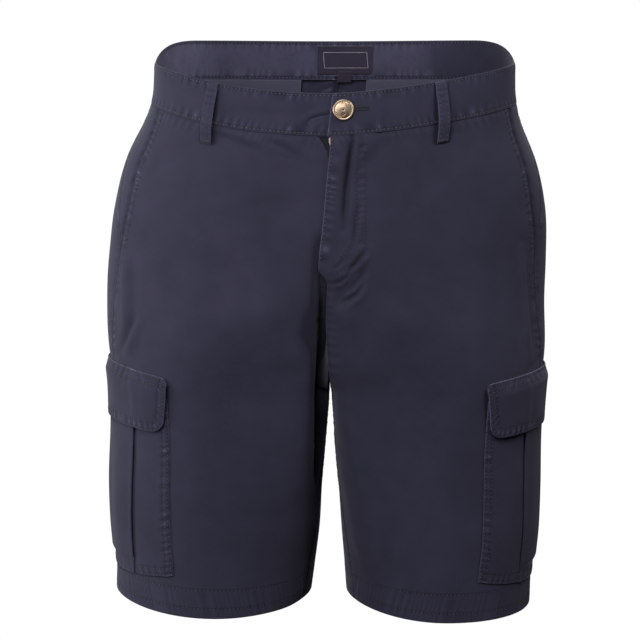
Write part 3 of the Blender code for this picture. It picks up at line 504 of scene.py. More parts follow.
def spaced(length, step, marks=(), edge=(0.35, 0.9, 1.7)):
    """Places from 0 to length, closer at both ends and beside the marks."""
    fine = [0, length]
    fine += [e * MM for e in edge] + [length - e * MM for e in edge]
    for mark in marks:
        fine += [mark - 1.0 * MM, mark, mark + 1.0 * MM]
    fine = np.array(sorted(fine))
    count = max(int(round(length / step)), 2)
    regular = np.linspace(0, length, count + 1)
    clear = np.abs(regular[:, None] - fine[None, :]).min(axis=1) > 0.55 * step
    return np.array(sorted(np.concatenate([fine, regular[clear]])))


# The wear-and-shade value is above 0 where the cloth is rubbed pale and where light is painted on it,
# and below 0 where it has stayed dark and where shade is painted on it. Of the next line, ROW, UNDER,
# SEAM and LOOP set painted shade and EDGE_PALE sets rubbed wear.
ROW_PAINTED_SHADE, UNDER_PAINTED_SHADE, SEAM_PAINTED_SHADOW, LOOP_PAINTED_SHADOW, EDGE_PALE = 0.55, 0.9, 0.9, 1.6, 0.75
MIDDLE_PAINTED_LIGHT = 0.36  # painted light on the back panels just below the waistband's middle
# Puckers get pale ridges from wear and painted shade in their troughs; creases get painted shade in
# theirs.
PUCKER_WEAR_AND_SHADE, CREASE_PAINTED_SHADE, INNER_PUCKERS = 1.5, 0.22, 0.3
EDGE_FADE = 1.1 * MM
# The trough along a stitch row, its half width and the half width of the shade painted along it;
# then the swelling round it and its half width, in millimetres.
GROOVE_DEPTH, GROOVE_WIDTH, ROW_SHADE_WIDTH = 0.38 * MM, 0.9, 1.1
SWELLING, SWELLING_WIDTH = 0.16 * MM, 3.2
# How far the puckers' spacing strays, their mean strength and how much it varies, how much of one
# lies below the cloth, how soft the ends of their run are, and the tallest whose wear and painted
# shade still grow.
PUCKER_STRAY, PUCKER_MEAN, PUCKER_VARIES = 1.4, 0.58, 0.42
PUCKER_SUNK, PUCKER_SOFT, PUCKER_WEAR_AND_SHADE_TOP = 0.55, 5, 1.6


def rolled(distance, radius):
    """How far a turned edge drops at this distance in from it."""
    inside = np.clip(1 - distance / radius, 0, 1)
    return -radius * (1 - np.sqrt(1 - inside ** 2))


def within(level, run, soft):
    """1 at the levels of a run, with soft ends."""
    return ease(level, run.high + soft, run.high - soft) * ease(level, run.low - soft, run.low + soft)


def rubbed_edge(distance, width=EDGE_FADE):
    """Wear beside an edge, at each distance in from it."""
    return EDGE_PALE * np.exp(-np.maximum(distance, 0) / width)


def puckered(puckers, edges, along):
    """Height of the puckers, with wear on their ridges and shade painted in their troughs, from
    distances to the edges and places along them.
    """
    height, wear = 0.0, 0.0
    for p in puckers:
        distance = edges[p.edge] / MM
        level = along["level"] / MM
        place = along["level" if p.edge in ("start", "end", "fly") else "arc"] / MM
        lean = place + p.lean * distance
        phase = lean / p.pitch + PUCKER_STRAY * wander(p.seed, lean / (2.7 * p.pitch))
        ridge = 0.5 - 0.5 * np.cos(2 * math.pi * phase)
        strength = PUCKER_MEAN + PUCKER_VARIES * wander(p.seed + 1, lean / (2.2 * p.pitch))
        reach = ease(distance, p.band + p.fade, p.band * 0.7) * ease(distance, -0.5, 2.5)
        share = strength * reach * within(level, p, PUCKER_SOFT)
        height = height + (ridge - PUCKER_SUNK) * share * p.height * MM
        wear = wear + PUCKER_WEAR_AND_SHADE * (ridge - 0.45) * share * min(p.height, PUCKER_WEAR_AND_SHADE_TOP)
    return height, wear


def grooved(rows, edges, along):
    """A narrow trough along each stitch row and the swelling beside it; and the shade painted along
    it.
    """
    height, dark = 0.0, 0.0
    for row in rows:
        distance = edges[row.edge] / MM - row.inset
        run = within(along["level"] / MM, row, 1)
        height = height - GROOVE_DEPTH * bell(distance, GROOVE_WIDTH) * run
        height = height + SWELLING * bell(distance, SWELLING_WIDTH) * run
        dark = dark + ROW_PAINTED_SHADE * bell(distance, ROW_SHADE_WIDTH) * run
    return height, dark


def creased(piece, points):
    """The listed creases of one piece, at each point, and the shade painted in their troughs."""
    total, dark = np.zeros(points.shape[:-1]), np.zeros(points.shape[:-1])
    flat = points[..., (0, 2)] / MM
    for crease in CREASES.get(piece, ()):
        run = np.array(crease.run, float)
        lengths = lengths_along(run)
        best = np.full(total.shape, 1e9)
        signed, along = np.zeros(total.shape), np.zeros(total.shape)
        for start, end, before in zip(run, run[1:], lengths):
            step = end - start
            size = np.linalg.norm(step)
            t = np.clip((flat - start) @ step / size ** 2, 0, 1)
            offset = flat - start - t[..., None] * step
            distance = np.linalg.norm(offset, axis=-1)
            nearer = distance < best
            best = np.where(nearer, distance, best)
            across = (offset @ np.array([step[1], -step[0]])) / size
            signed = np.where(nearer, np.sign(across) * distance, signed)
            along = np.where(nearer, before + t * size, along)
        share = along / lengths[-1]
        taper = 0.35 + 0.65 * ease(share, 0, 0.25) * ease(share, 1, 0.7)
        uneven = 1 + 0.3 * wander(len(crease.run), along / 17)
        trough = bell(signed, crease.width)
        lee = bell(signed + 1.9 * crease.width, 1.2 * crease.width)
        total += crease.height * taper * uneven * (trough - crease.lee * lee)
        # Shade painted in the trough, more where it is deeper.
        dark += CREASE_PAINTED_SHADE * max(-crease.height, 0) * taper * trough ** 2
    return total * MM, dark


def grid_faces(rows, columns):
    index = np.arange(rows * columns).reshape(rows, columns)
    quads = np.stack([index[:-1, :-1], index[:-1, 1:], index[1:, 1:], index[1:, :-1]], axis=-1)
    return quads.reshape(-1, 4)


def make_mesh(name, vertices, faces, material, uv=None, wear=None):
    mesh = bpy.data.meshes.new(name)
    mesh.from_pydata(vertices, [], faces)
    mesh.materials.append(material)
    mesh.shade_smooth()
    corner = np.empty(len(mesh.loops), np.int32)
    mesh.loops.foreach_get("vertex_index", corner)
    if uv is not None:
        layer = mesh.uv_layers.new(name="cut")
        layer.data.foreach_set("uv", np.asarray(uv, np.float32)[corner].ravel())
    # This attribute carries rubbed wear together with painted light and painted shade.
    if wear is not None:
        layer = mesh.attributes.new("wear", "FLOAT", "POINT")
        layer.data.foreach_set("value", np.asarray(wear, np.float32).ravel())
    thing = bpy.data.objects.new(name, mesh)
    bpy.context.scene.collection.objects.link(thing)
    return thing


def worn(thing):
    """The piece moves with the shorts."""
    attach(thing, BODY)


MATERIALS = {}  # by name; each cloth piece takes the one its slot names


def cloth(node, patch, slot, thickness):
    """Makes a patch into the sheet that stands for a node, solid where it has a thickness."""
    size = patch.grid.shape[:2]
    faces = grid_faces(*size)[:, ::-1] if patch.flipped else grid_faces(*size)
    drop = np.broadcast_to(np.asarray(patch.rows)[:, None], patch.columns.shape)
    uv = np.stack([patch.columns, drop], axis=-1)
    thing = make_mesh(
        f"{node}_cloth", patch.grid.reshape(-1, 3), faces.tolist(), MATERIALS[slot],
        uv.reshape(-1, 2), np.broadcast_to(patch.wear, size),
    )
    if thickness:
        shell = thing.modifiers.new("thickness", "SOLIDIFY")
        shell.thickness = thickness
        shell.offset = -1
    worn(thing)
    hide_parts(node)
    return thing


# ---- laying panels on the body ----

Line = namedtuple("Line", "level inward face")  # face is 1 outside, -1 inside, 0 in the turn
TURN_STEPS = (30, 60, 90, 120, 150, 180)
HEM_RADIUS, TURN_UP_LINES = 1.2 * MM, 12


def turn_lines(level, radius, way, steps):
    """Lines round a turned edge: down with way -1, up with way 1."""
    return [Line(level + way * radius * math.sin(turn), -radius * (1 - math.cos(turn)), 0)
            for turn in np.radians(steps)]


def lines_down(top, bottom, step, marks=(), turn_up=0.0):
    """Lines from the top to the bottom edge, then turned up inside by turn_up."""
    end = bottom + HEM_RADIUS if turn_up else bottom
    lines = [Line(top - drop, 0, 1) for drop in spaced(top - end, step, marks)]
    if turn_up:
        lines += turn_lines(end, HEM_RADIUS, -1, TURN_STEPS)
        rises = np.linspace(0, turn_up, TURN_UP_LINES)[1:]
        lines += [Line(end + rise, -2 * HEM_RADIUS, -1) for rise in rises]
    return lines


def lines_over(bottom, top, step, radius, marks=()):
    """Lines from the bottom edge up, over the top and down again inside."""
    start = top - radius
    rises = spaced(start - bottom, step, marks)
    lines = [Line(bottom + rise, 0, 1) for rise in rises]
    lines += turn_lines(start, radius, 1, TURN_STEPS[:-1])
    return lines + [Line(bottom + rise, -2 * radius, -1) for rise in rises[::-1]]


# The reverse's paleness, partly its own and partly painted light; then painted light at one end and
# painted shade at the other.
REVERSE_PALE_AND_LIGHT, REVERSE_PAINTED_LIGHT, REVERSE_PAINTED_SHADE = 0.6, 0.5, -1.1


def reverse_pale_and_painted_light(x):
    """The cloth's reverse is paler, partly its own tone and partly painted light, with more painted
    light at one end and painted shade at the other.
    """
    ends = REVERSE_PAINTED_LIGHT * ease(x, -110 * MM, -170 * MM) + REVERSE_PAINTED_SHADE * ease(x, 80 * MM, 170 * MM)
    return REVERSE_PALE_AND_LIGHT + ends


def between(first, last, step):
    """Arcs from first to last on each line, about a step apart on the longest."""
    longest = float(np.abs(last - first).max())
    return first + (last - first) * (spaced(longest, step) / longest)


TURN_SHARE = 0.4  # how much of the relief is left in a turn
EDGE_DIP = (0.9 * MM, -0.7 * MM)


def lay(piece, side, lines, start, end, step, out=0.0, puckers=(), rows=(),
        under=(nowhere, nowhere), roll=(1.0 * MM, 1.0 * MM), span=None, dip=EDGE_DIP, relief=None,
        via=None):
    """A patch between the arcs start(level) and end(level). under says how far each of those
    edges runs in beneath its neighbour at a level. With via, a step in the inner edge moves only
    the columns between it and via(level)."""
    level, inward, face = (np.array(v, float)[:, None] for v in zip(*lines))
    levels = level[:, 0]
    first, last = each(start, levels), each(end, levels)
    if via:
        turn = each(via, levels)
        parts = between(first, turn, step), between(turn, last, step)[:, 1:]
        arcs = np.concatenate(parts, axis=1)
    else:
        arcs = between(first, last, step)
    ground = surface(side, levels, arcs)
    beneath = [each(f, levels) for f in under]
    top, bottom = span or (level.max(), level.min())
    edges = {
        "start": np.abs(arcs - first) - beneath[0], "end": np.abs(arcs - last) - beneath[1],
        "top": top - level + 0 * arcs, "bottom": level - bottom + 0 * arcs,
        "fly": np.abs(ground.points[..., 0] - FLY_LADDER_X) + LADDER_CORE,
    }
    along = {"level": level + 0 * arcs, "arc": arcs}
    outward = np.where(face < 0, -1.0, np.where(face > 0, 1.0, TURN_SHARE))
    strength = np.where(face < 0, INNER_PUCKERS, 1.0)
    height, wear = (strength * v for v in puckered(puckers, edges, along))
    sewn, dark = grooved(rows, edges, along)
    folds, shade = creased(piece, ground.points)
    height, wear = height + sewn + folds, wear - dark - shade
    if relief:
        height = height + relief(ground.points)
    for edge, radius, hidden in zip(("start", "end"), roll, beneath):
        lapped = np.minimum(hidden / UNDERLAP, 1)
        height = height + rolled(np.maximum(edges[edge], 0), radius) * (1 - lapped)
        sunk = ease(edges[edge], *dip) * np.minimum(lapped * 2, 1)
        height = height - SEAM_STEP * sunk * outward
        # Free edges are rubbed pale; where an edge runs in under its neighbour, shade is painted on
        # the outside.
        wear = wear + rubbed_edge(edges[edge]) * (1 - lapped) - UNDER_PAINTED_SHADE * sunk * (face > 0)
    base = out(along["level"], ground.x) if callable(out) else out
    # The inside faces get the reverse's paler tone and its painted light and shade.
    wear = wear + reverse_pale_and_painted_light(ground.points[..., 0]) * (face < 0)
    patch = raised(ground, base + inward + height * outward, levels, arcs, wear, face[:, 0] > 0)
    patch.span = (top, bottom)
    patch.under = dict(zip(("start", "end"), under))
    return patch


def raised(ground, height, rows, columns, wear, outer=None):
    """A patch at a height over the ground. outer says which of its rows are on the outside."""
    grid = ground.points + ground.normals * (ground.height + height)[..., None]
    chosen = None if outer is None else np.flatnonzero(outer)
    return Patch(grid, rows, columns, ground.normals, wear, chosen)


def over(patch, places):
    """Points and normals on a patch at places given in its rows' and columns' units."""
    points, normals = zip(*(patch.at(*place) for place in places))
    return np.array(points), np.array(normals)


def stitch_line(patch, row):
    """Points and normals along one stitch row of a patch."""
    places = []
    rows = patch.rows[patch.outer]
    columns = patch.columns[patch.outer]
    order = np.argsort(rows)
    if row.edge in ("start", "end"):
        column = 0 if row.edge == "start" else -1
        inwards = np.sign(columns[0, -1] - columns[0, 0]) * (1 if row.edge == "start" else -1)
        high, low = min(row.high * MM, rows.max()), max(row.low * MM, rows.min())
        for place in np.arange(high, low, -1.0 * MM):
            edge = np.interp(place, rows[order], columns[order, column])
            under = patch.under[row.edge](place) if patch.under else 0
            places.append((place, edge + inwards * (row.inset * MM + under)))
    else:
        place = patch.span[0] - row.inset * MM if row.edge == "top" else patch.span[1] + row.inset * MM
        start = np.interp(place, rows[order], columns[order, 0])
        end = np.interp(place, rows[order], columns[order, -1])
        count = max(int(abs(end - start) / MM), 2)
        places = [(place, arc) for arc in np.linspace(start, end, count)[1:-1]]
    return over(patch, places)


# ---- thread ----

STITCH_STATIONS = ((-0.5, 0.4, -0.9), (-0.28, 1.0, 0.3), (0.28, 1.0, 0.3), (0.5, 0.4, -0.9))


def walked(points, normals, places):
    """Positions, directions ahead and aside, and normals at lengths along a run of points."""
    lengths = lengths_along(points)

    def at(values, where):
        return np.stack([np.interp(where, lengths, values[:, k]) for k in range(3)], axis=1)

    ahead = unit(at(points, places + 0.6 * MM) - at(points, places - 0.6 * MM))
    up = unit(at(normals, places))
    return at(points, places), ahead, unit(np.cross(up, ahead)), up


def stitches_in(points, pitch):
    """A run's length and how many whole stitches it takes."""
    total = lengths_along(points)[-1]
    return total, max(int(total / pitch), 1)


def add_threads(name, runs, material, pitch=STITCH_PITCH, length=STITCH_LENGTH,
                radius=THREAD_RADIUS["thread"], across=False):
    """Raised stitches along runs of (points, normals); across lays them side by side."""
    vertices, faces, first = [], [], 0
    for points, normals in runs:
        total, count = stitches_in(points, pitch)
        centres, ahead, side, up = walked(points, normals, (np.arange(count) + 0.5) * total / count)
        if across:
            ahead, side = side, -ahead
        for place, thick, height in STITCH_STATIONS:
            for turn in (0, 0.5, 1, 1.5):
                ring = side * math.cos(math.pi * turn) + up * math.sin(math.pi * turn)
                vertices.append(centres + ahead * place * length
                                + (ring * thick + up * height) * radius)
        for k in range(count):
            corner = [first + ring * count + k for ring in range(16)]
            for a in range(12):
                b = a + 1 if a % 4 < 3 else a - 3
                faces.append((corner[a], corner[b], corner[b + 4], corner[a + 4]))
        first += 16 * count
    worn(make_mesh(name, np.concatenate(vertices), faces, material))


HOLE_LENGTH, HOLE_WIDTH, HOLE_LIFT = 1.3 * MM, 1.0 * MM, 0.12 * MM
FINE_STITCH = (2.6 * MM, 1.9 * MM, 0.24 * MM)  # pitch, length and radius
TACK = (0.75 * MM, 2.0 * MM, 0.4 * MM)
HOLE_STITCH = (0.62 * MM, 2.4 * MM, 0.45 * MM)


def add_needle_hole_shades(name, runs, material):
    """Painted shade in the dents where the needle went in: small dark sheets between the stitches of
    the same runs.
    """
    vertices, faces, first = [], [], 0
    for points, normals in runs:
        total, stitches = stitches_in(points, STITCH_PITCH)
        count = stitches - 1
        if count == 0:
            continue
        places = np.arange(1, stitches) * total / stitches
        centres, ahead, side, up = walked(points, normals, places)
        centres = centres + up * HOLE_LIFT
        for step, across in ((-0.5, 0), (0, 0.5), (0.5, 0), (0, -0.5)):
            vertices.append(centres + ahead * step * HOLE_LENGTH + side * across * HOLE_WIDTH)
        faces += [tuple(first + k + count * c for c in (0, 3, 2, 1)) for k in range(count)]
        first += 4 * count
    worn(make_mesh(name, np.concatenate(vertices), faces, material))


def sew(piece, runs, thread="thread"):
    add_threads(f"{piece}_stitches", runs, MATERIALS[thread], radius=THREAD_RADIUS[thread])
    add_needle_hole_shades(f"{piece}_needle_hole_shades", runs, MATERIALS["needle_hole_shade"])


def stitch_lines(patch, rows):
    return [stitch_line(patch, row) for row in rows]


def steps_along(run):
    """Places a millimetre apart along a run of two values each, such as level and arc."""
    run = np.array(run, float)
    lengths = lengths_along(run)
    where = np.arange(0, lengths[-1], 1.0 * MM)
    return zip(np.interp(where, lengths, run[:, 0]), np.interp(where, lengths, run[:, 1]))


def traced(patch, places):
    """A run over a patch through places, in the same units."""
    return over(patch, steps_along(places))


def dropped(patch, run):
    """A run over a patch through (x, z) places in millimetres, seen from the front."""
    points = [Vector(p) for p in patch.grid.reshape(-1, 3)]
    tree = BVHTree.FromPolygons(points, grid_faces(*patch.grid.shape[:2]).tolist())
    places, normals = [], []
    for x, z in steps_along(np.array(run) * MM):
        hit, normal, _, _ = tree.ray_cast(Vector((x, -1, z)), Vector((0, 1, 0)))
        if hit is not None:
            places.append(hit)
            normals.append(normal if normal.y < 0 else -normal)
    return np.array(places), np.array(normals)


# ---- the leg panels ----


PANEL_TUCK = 4 * MM  # the panels run up inside the waistband
TUCK_SWELL = 0.7 * MM
HEM_ROWS = (Row("bottom", 10, -560, 29), Row("bottom", 10, -560, 10))
PANEL_ROLL = 1.7 * MM
CLEFT_MIDDLE, CLEFT_HALF, CLEFT_SOFT = -5.1 * MM, 4.7 * MM, 1.3 * MM
CLEFT_DEPTH, CLEFT_RUN = 20 * MM, (-158 * MM, -262 * MM)
BANK_FALL, BANK_WIDTH = 2.6 * MM, 8 * MM  # the groove's left bank
MOUTH_ROWS = (1.8, 8.2)
FRONT_STEP, BACK_STEP = 1.8 * MM, 2.1 * MM
VIA_OUT = {LEFT: (5 * MM, 36 * MM), RIGHT: (13 * MM, 36 * MM)}  # below and beside the fly
HEM_PUCKER = Pucker("bottom", 10, -540, 30, 6.0, 0.55, 5, 0.2, 31)
TOP_PUCKER = Pucker("top", 10, -200, 5, 10.5, 0.5, 11, 0.15, 37)
FRONT_PUCKERS = {
    LEFT: (
        Pucker("start", -42, -160, 8, 10, 1.1, 6, 0.25, 41),
        Pucker("fly", -46, -150, 6, 6.4, 0.7, 3, 0.3, 43),
        Pucker("start", -176, -298, 6, 9, 0.4, 9, 0.2, 45),
    ),
    RIGHT: (
        Pucker("start", -176, -298, 5, 10, 0.7, 9, -0.2, 47),
    ),
}
SIDE_PUCKERS = (
    Pucker("start", -298, -486, 5, 9.5, 1.0, 9, 0.2, 49),
    Pucker("end", 10, -166, 10, 6.0, 1.15, 3, 0.2, 51),
    Pucker("end", -174, -486, 4, 9.5, 1.1, 12, -0.25, 53),
)
BACK_PUCKERS = (
    Pucker("start", 10, -486, 5, 9.0, 0.8, 11, 0.2, 61),
    Pucker("end", 10, -296, 8, 8.5, 0.9, 8, 0.25, 63),
    Pucker("end", -298, -486, 3, 10, 0.7, 9, -0.2, 65),
)
BAND_PUCKERS = (
    Pucker("top", 60, -60, 5, 8.5, 0.9, 7, 0.1, 71),
    Pucker("bottom", 60, -60, 5, 9.5, 1.0, 9, -0.15, 73),
)
BAND_ROWS = (Row("top", 60, -60, 2.4), Row("bottom", 60, -60, 2.4))
POCKET_PUCKERS = (
    Pucker("start", -290, -500, 9, 7.6, 1.0, 4, 0.15, 81),
    Pucker("end", -290, -500, 9, 7.8, 1.0, 4, -0.15, 83),
    Pucker("bottom", -200, -600, 8, 10, 1.0, 7, 0.3, 85),
)
FACING_PUCKERS = (
    Pucker("start", 10, -170, 3, 11, 0.7, 8, 0.3, 91),
    Pucker("end", 10, -170, 3, 9, 0.6, 8, 0, 93),
    Pucker("top", 10, -170, 3, 10, 0.5, 9, 0, 95),
)
FACING_DIP = 9 * MM  # the facing sinks over this width towards the pocket mouth
J_OUTER = ((32.5, -43), (33.4, -100), (34.2, -136), (31, -148), (22.3, -156), (15.9, -166), (1, -174))
J_INNER = ((24, -43), (24.6, -100), (25.6, -128), (22, -141), (14, -150), (8, -158))
# The puckers between the two J-shaped rows, at full strength this near their middle.
FLY_LADDER_X, LADDER_CORE = 30 * MM, 3 * MM


def via_arc(level, facing, side):
    """Where the panel's inner columns end: this far out from the inner leg or the centre."""
    below, beside = VIA_OUT[side]
    out = below + (beside - below) * float(ease(level, FLY_END - 75 * MM, FLY_END))
    return arc_at_x(level, float(LEG_GAP(level)) + out, facing)


def leg_lines(step):
    marks = [PANEL_TUCK + FULL_LENGTH - BAND_HEIGHT - row.inset * MM for row in HEM_ROWS]
    return lines_down(-BAND_HEIGHT + PANEL_TUCK, -FULL_LENGTH, step, marks, turn_up=HEM_HEIGHT)


def tucked(level, x=0):
    """The panels' tops lie inside the waistband and swell a little right below it."""
    swell = bell(level + BAND_HEIGHT + 4 * MM, 5 * MM)
    inside = ease(level, -BAND_HEIGHT - 0.5 * MM, -BAND_HEIGHT + 1.5 * MM)
    return TUCK_SWELL * swell * (1 - inside) - 0.5 * MM * inside


# How dark the painted shadow is right below the waistband and beside the pocket and its flap, and how
# far it reaches from them; then the same for the painted shade on the strip and the spot beside the
# groove.
BAND_PAINTED_SHADOW, POCKET_PAINTED_SHADOW, FLAP_PAINTED_SHADOW = 0.3, (1.0, 1.2 * MM), (1.8, 1.5 * MM)
STRIP_PAINTED_SHADE, SPOT_PAINTED_SHADE = (2.6, -8, 7.5), (1.3, (-20, 8), (-226, 17))
# How wide the painted loop shadow is, in millimetres, and how much wider it grows towards the loop's
# lower end.
LOOP_SHADOW_WIDTH, LOOP_SHADOW_WIDENS = 1.0, 2.4
FAR = 1.0


def paint_seam_shadows(patch, side):
    """Paints shadow on the cloth right below the waistband, round the cargo pocket's edge and beside
    its flap's edge.
    """
    level = patch.rows[:, None]
    across = patch.columns - pocket_middle(side, patch.rows)
    out = np.abs(across)
    beside = np.where((level < POCKET_TOP) & (level > POCKET_BOTTOM),
                      np.abs(out - POCKET_HALF - 0.3 * MM), FAR)
    low = POCKET_BOTTOM - POCKET_SAG * (1 - (across / POCKET_HALF) ** 2)
    below = np.where(out < POCKET_HALF, np.abs(level - low + 0.3 * MM), FAR)
    drop = FLAP_TOP - level
    by_flap = np.where((drop > FLAP_TOP_CORNER) & (drop < FLAP_HEIGHT - 2 * MM),
                       np.abs(out - flap_half(drop) - 0.6 * MM), FAR)
    dark = BAND_PAINTED_SHADOW * ease(level, -BAND_HEIGHT - 2.6 * MM, -BAND_HEIGHT - 0.8 * MM)
    dark = dark + POCKET_PAINTED_SHADOW[0] * bell(np.minimum(beside, below), POCKET_PAINTED_SHADOW[1])
    dark = dark + FLAP_PAINTED_SHADOW[0] * bell(by_flap, FLAP_PAINTED_SHADOW[1])
    patch.wear = patch.wear - SEAM_PAINTED_SHADOW * dark


def loop_middle(loop, side, levels):
    """Arcs of a belt loop's middle at these levels, and how far down the loop they are."""
    t = np.clip((levels - LOOP_START) / (LOOP_BOTTOM - LOOP_START), 0, 1)
    xs = (loop.x_top + (loop.x_bottom - loop.x_top) * t) * MM * side
    arcs = [arc_at_x(level, x, loop.facing) for level, x in zip(levels, xs)]
    return np.array(arcs)[:, None], t


def paint_loop_shadows(patch, side, facing):
    """Paints shadow on the cloth beside each belt loop, more and wider towards the loop's lower end.
    """
    outer = np.zeros((len(patch.rows), 1))
    outer[patch.outer] = 1
    for loop in LOOPS:
        if loop.facing != facing or loop.x_top * side <= 0:
            continue
        middle, t = loop_middle(loop, side, patch.rows)
        beside = np.clip(np.abs(patch.columns - middle) - LOOP_WIDTH / 2, 0, None)
        width = (LOOP_SHADOW_WIDTH + LOOP_SHADOW_WIDENS * t[:, None]) * MM
        above = ease(patch.rows, LOOP_BOTTOM - 2 * MM, LOOP_BOTTOM + 2 * MM)[:, None]
        patch.wear = patch.wear - LOOP_PAINTED_SHADOW * bell(beside, width) * above * outer


def paint_light_below_middle(patch):
    """Paints light on the back panels just below the waistband's middle, which shows over the front.
    """
    x, level = patch.grid[..., 0] / MM, patch.rows[:, None] / MM
    across = ease(np.abs(x - 4), 150, 30) * (patch.grid[..., 1] > 0)
    patch.wear = patch.wear + MIDDLE_PAINTED_LIGHT * across * ease(level, -170, -55)


def paint_shade_at_fly_end(patch):
    """The left front's edge isn't rubbed pale below the fly, and shade is painted along it there."""
    inset = np.abs(patch.columns - patch.columns[:, :1])
    below = ease(patch.rows, FLY_END + 12 * MM, FLY_END - 4 * MM)[:, None]
    patch.wear = patch.wear - (EDGE_PALE + 0.6) * np.exp(-inset / (1.6 * MM)) * below


def paint_crotch_shade(patch):
    """Paints shade on the right front beside the groove below the fly."""
    x, level = patch.grid[..., 0] / MM, patch.rows[:, None] / MM
    strip = bell(x - STRIP_PAINTED_SHADE[1], STRIP_PAINTED_SHADE[2]) * ease(level, -120, -160) * (x < 0)
    strength, across, down = SPOT_PAINTED_SHADE
    spot = bell(x - across[0], across[1]) * bell(level - down[0], down[1])
    patch.wear = patch.wear - STRIP_PAINTED_SHADE[0] * strip - strength * spot


def add_leg_panel(side, facing, start, end, step, out, puckers, rows, under, relief=None):
    """One front or back panel, with its hem turned up inside."""
    via_side = side if facing == "front" else LEFT
    patch = lay(
        f"{facing}_{word(side)}", side, leg_lines(step), start, end, step, out,
        puckers + (HEM_PUCKER, TOP_PUCKER), rows, under=under, roll=(PANEL_ROLL, PANEL_ROLL),
        span=(-BAND_HEIGHT, -FULL_LENGTH), relief=relief,
        via=lambda level: via_arc(level, facing, via_side),
    )
    paint_seam_shadows(patch, side)
    paint_loop_shadows(patch, side, facing)
    return patch


def add_front(side):
    name = f"front_{word(side)}"
    rows = (
        Row("end", -40, -168, MOUTH_ROWS[0]), Row("end", -40, -166, MOUTH_ROWS[1]),
        Row("end", -174, -488, 2.0), Row("start", -304, -488, 2.0),
    ) + HEM_ROWS
    puckers = FRONT_PUCKERS[side] + SIDE_PUCKERS
    if side == LEFT:
        rows += (Row("start", -42, -158, 2.0),)
        patch = add_leg_panel(
            side, "front", lambda level: front_start(level, LEFT), front_end, FRONT_STEP,
            lambda level, x: fly_out(level, x) + tucked(level), puckers, rows, (nowhere, nowhere))
        paint_shade_at_fly_end(patch)
    else:
        patch = add_leg_panel(
            side, "front", lambda level: front_start(level, RIGHT), front_end, FRONT_STEP, tucked,
            puckers, rows, (right_front_under, nowhere), cleft)
        paint_crotch_shade(patch)
    cloth(name, patch, "twill", 0)
    sew(name, stitch_lines(patch, rows))
    if side == LEFT:
        sew("fly", [dropped(patch, J_OUTER), dropped(patch, J_INNER)], "fly_thread")


def cleft(points):
    """The narrow groove below the fly, which the legs' gap goes on from, with a soft left bank."""
    x, y, z = np.moveaxis(points, -1, 0)
    at_front = ease(y, -60 * MM, -90 * MM)
    groove = ease(np.abs(x - CLEFT_MIDDLE), CLEFT_HALF + CLEFT_SOFT, CLEFT_HALF - CLEFT_SOFT)
    beside = np.clip(CLEFT_MIDDLE - CLEFT_HALF - x, 0, None)
    bank = bell(beside, BANK_WIDTH) * (x < CLEFT_MIDDLE) * ease(z, -190 * MM, -215 * MM)
    return -(CLEFT_DEPTH * ease(z, *CLEFT_RUN) * groove + BANK_FALL * bank) * at_front


def right_front_under(level):
    """How far the right front runs in under the left one along the centre seam."""
    lap = UNDERLAP + (lap_below(level) if level < FLY_END else -FLY_EDGES[0].over * MM)
    return lap * past_fly(level) * float(ease(level, CROTCH_LEVEL, CROTCH_LEVEL + 30 * MM))


def add_back(side):
    name = f"back_{word(side)}"
    rows = HEM_ROWS + (Row("start", -42, -488, 6.5),)
    if side == LEFT:
        centre = Row("end", -42, -296, 1.8), Row("end", -42, -296, 8.0)
        rows = HEM_ROWS + centre + rows[-1:]
    patch = add_leg_panel(
        side, "back", lambda level: float(SIDE_SEAM(level)) + UNDERLAP,
        lambda level: centre_edge(level, "back") - back_under(level, side), BACK_STEP, tucked,
        BACK_PUCKERS, rows, (lambda level: UNDERLAP, lambda level: back_under(level, side)))
    paint_light_below_middle(patch)
    cloth(name, patch, "twill", 0)
    sew(name, stitch_lines(patch, rows))


def add_hip_facing(side):
    """The piece behind the slanted mouth, tucked under the front and flush beside it."""
    name = f"hip_facing_{word(side)}"
    top, bottom = -BAND_HEIGHT + PANEL_TUCK, MOUTH_END - 1 * MM
    patch = lay(
        name, side, lines_down(top, bottom, 2.0 * MM),
        lambda level: float(POCKET_MOUTH(level)) + UNDERLAP,
        lambda level: min(float(SIDE_SEAM(level)), float(POCKET_MOUTH(level)) - 0.5 * MM),
        2.0 * MM, tucked, FACING_PUCKERS, under=(lambda level: UNDERLAP, nowhere),
        dip=(FACING_DIP, EDGE_DIP[1]),
    )
    cloth(name, patch, "twill", SHELL)


# ---- the waistband ----


def band_out(level, x):
    return BAND_OUT + 0.5 * MM * np.sin(math.pi * np.clip(-level / BAND_HEIGHT, 0, 1))


def over_end_out(level, x):
    return band_out(level, x) + (OVER_END_OUT - BAND_OUT) * ease(x, OVER_RAMP[1], OVER_RAMP[0])


def band_lines():
    marks = (2.4 * MM, BAND_HEIGHT - 3.6 * MM)
    return lines_over(-BAND_HEIGHT + 0.1 * MM, 0, 1.6 * MM, BAND_WALL / 2, marks)


BAND_SHELL = 0.8 * MM
FRONT_ROLL, BACK_ROLL = (1.2 * MM, 0.5 * MM), (0.5 * MM, 0.001 * MM)
END_CORNER = 4.5 * MM  # the over-end's upper corner is rounded


def over_end(level):
    into = np.clip(1 + level / END_CORNER, 0, 1)
    x = float(np.interp(level, (-BAND_HEIGHT, 0), OVER_END_X[::-1]))
    x = x + END_CORNER * (1 - math.sqrt(1 - into ** 2))
    return arc_at_x(level, x, "front")


def under_end(level):
    return arc_at_x(level, -UNDER_END_X, "front")


def add_band_part(piece, side, start, end, out, roll, facing):
    patch = lay(piece, side, band_lines(), start, end, 2.0 * MM, out, BAND_PUCKERS, BAND_ROWS,
                span=(0, -BAND_HEIGHT), roll=roll)
    paint_loop_shadows(patch, side, facing)
    return patch


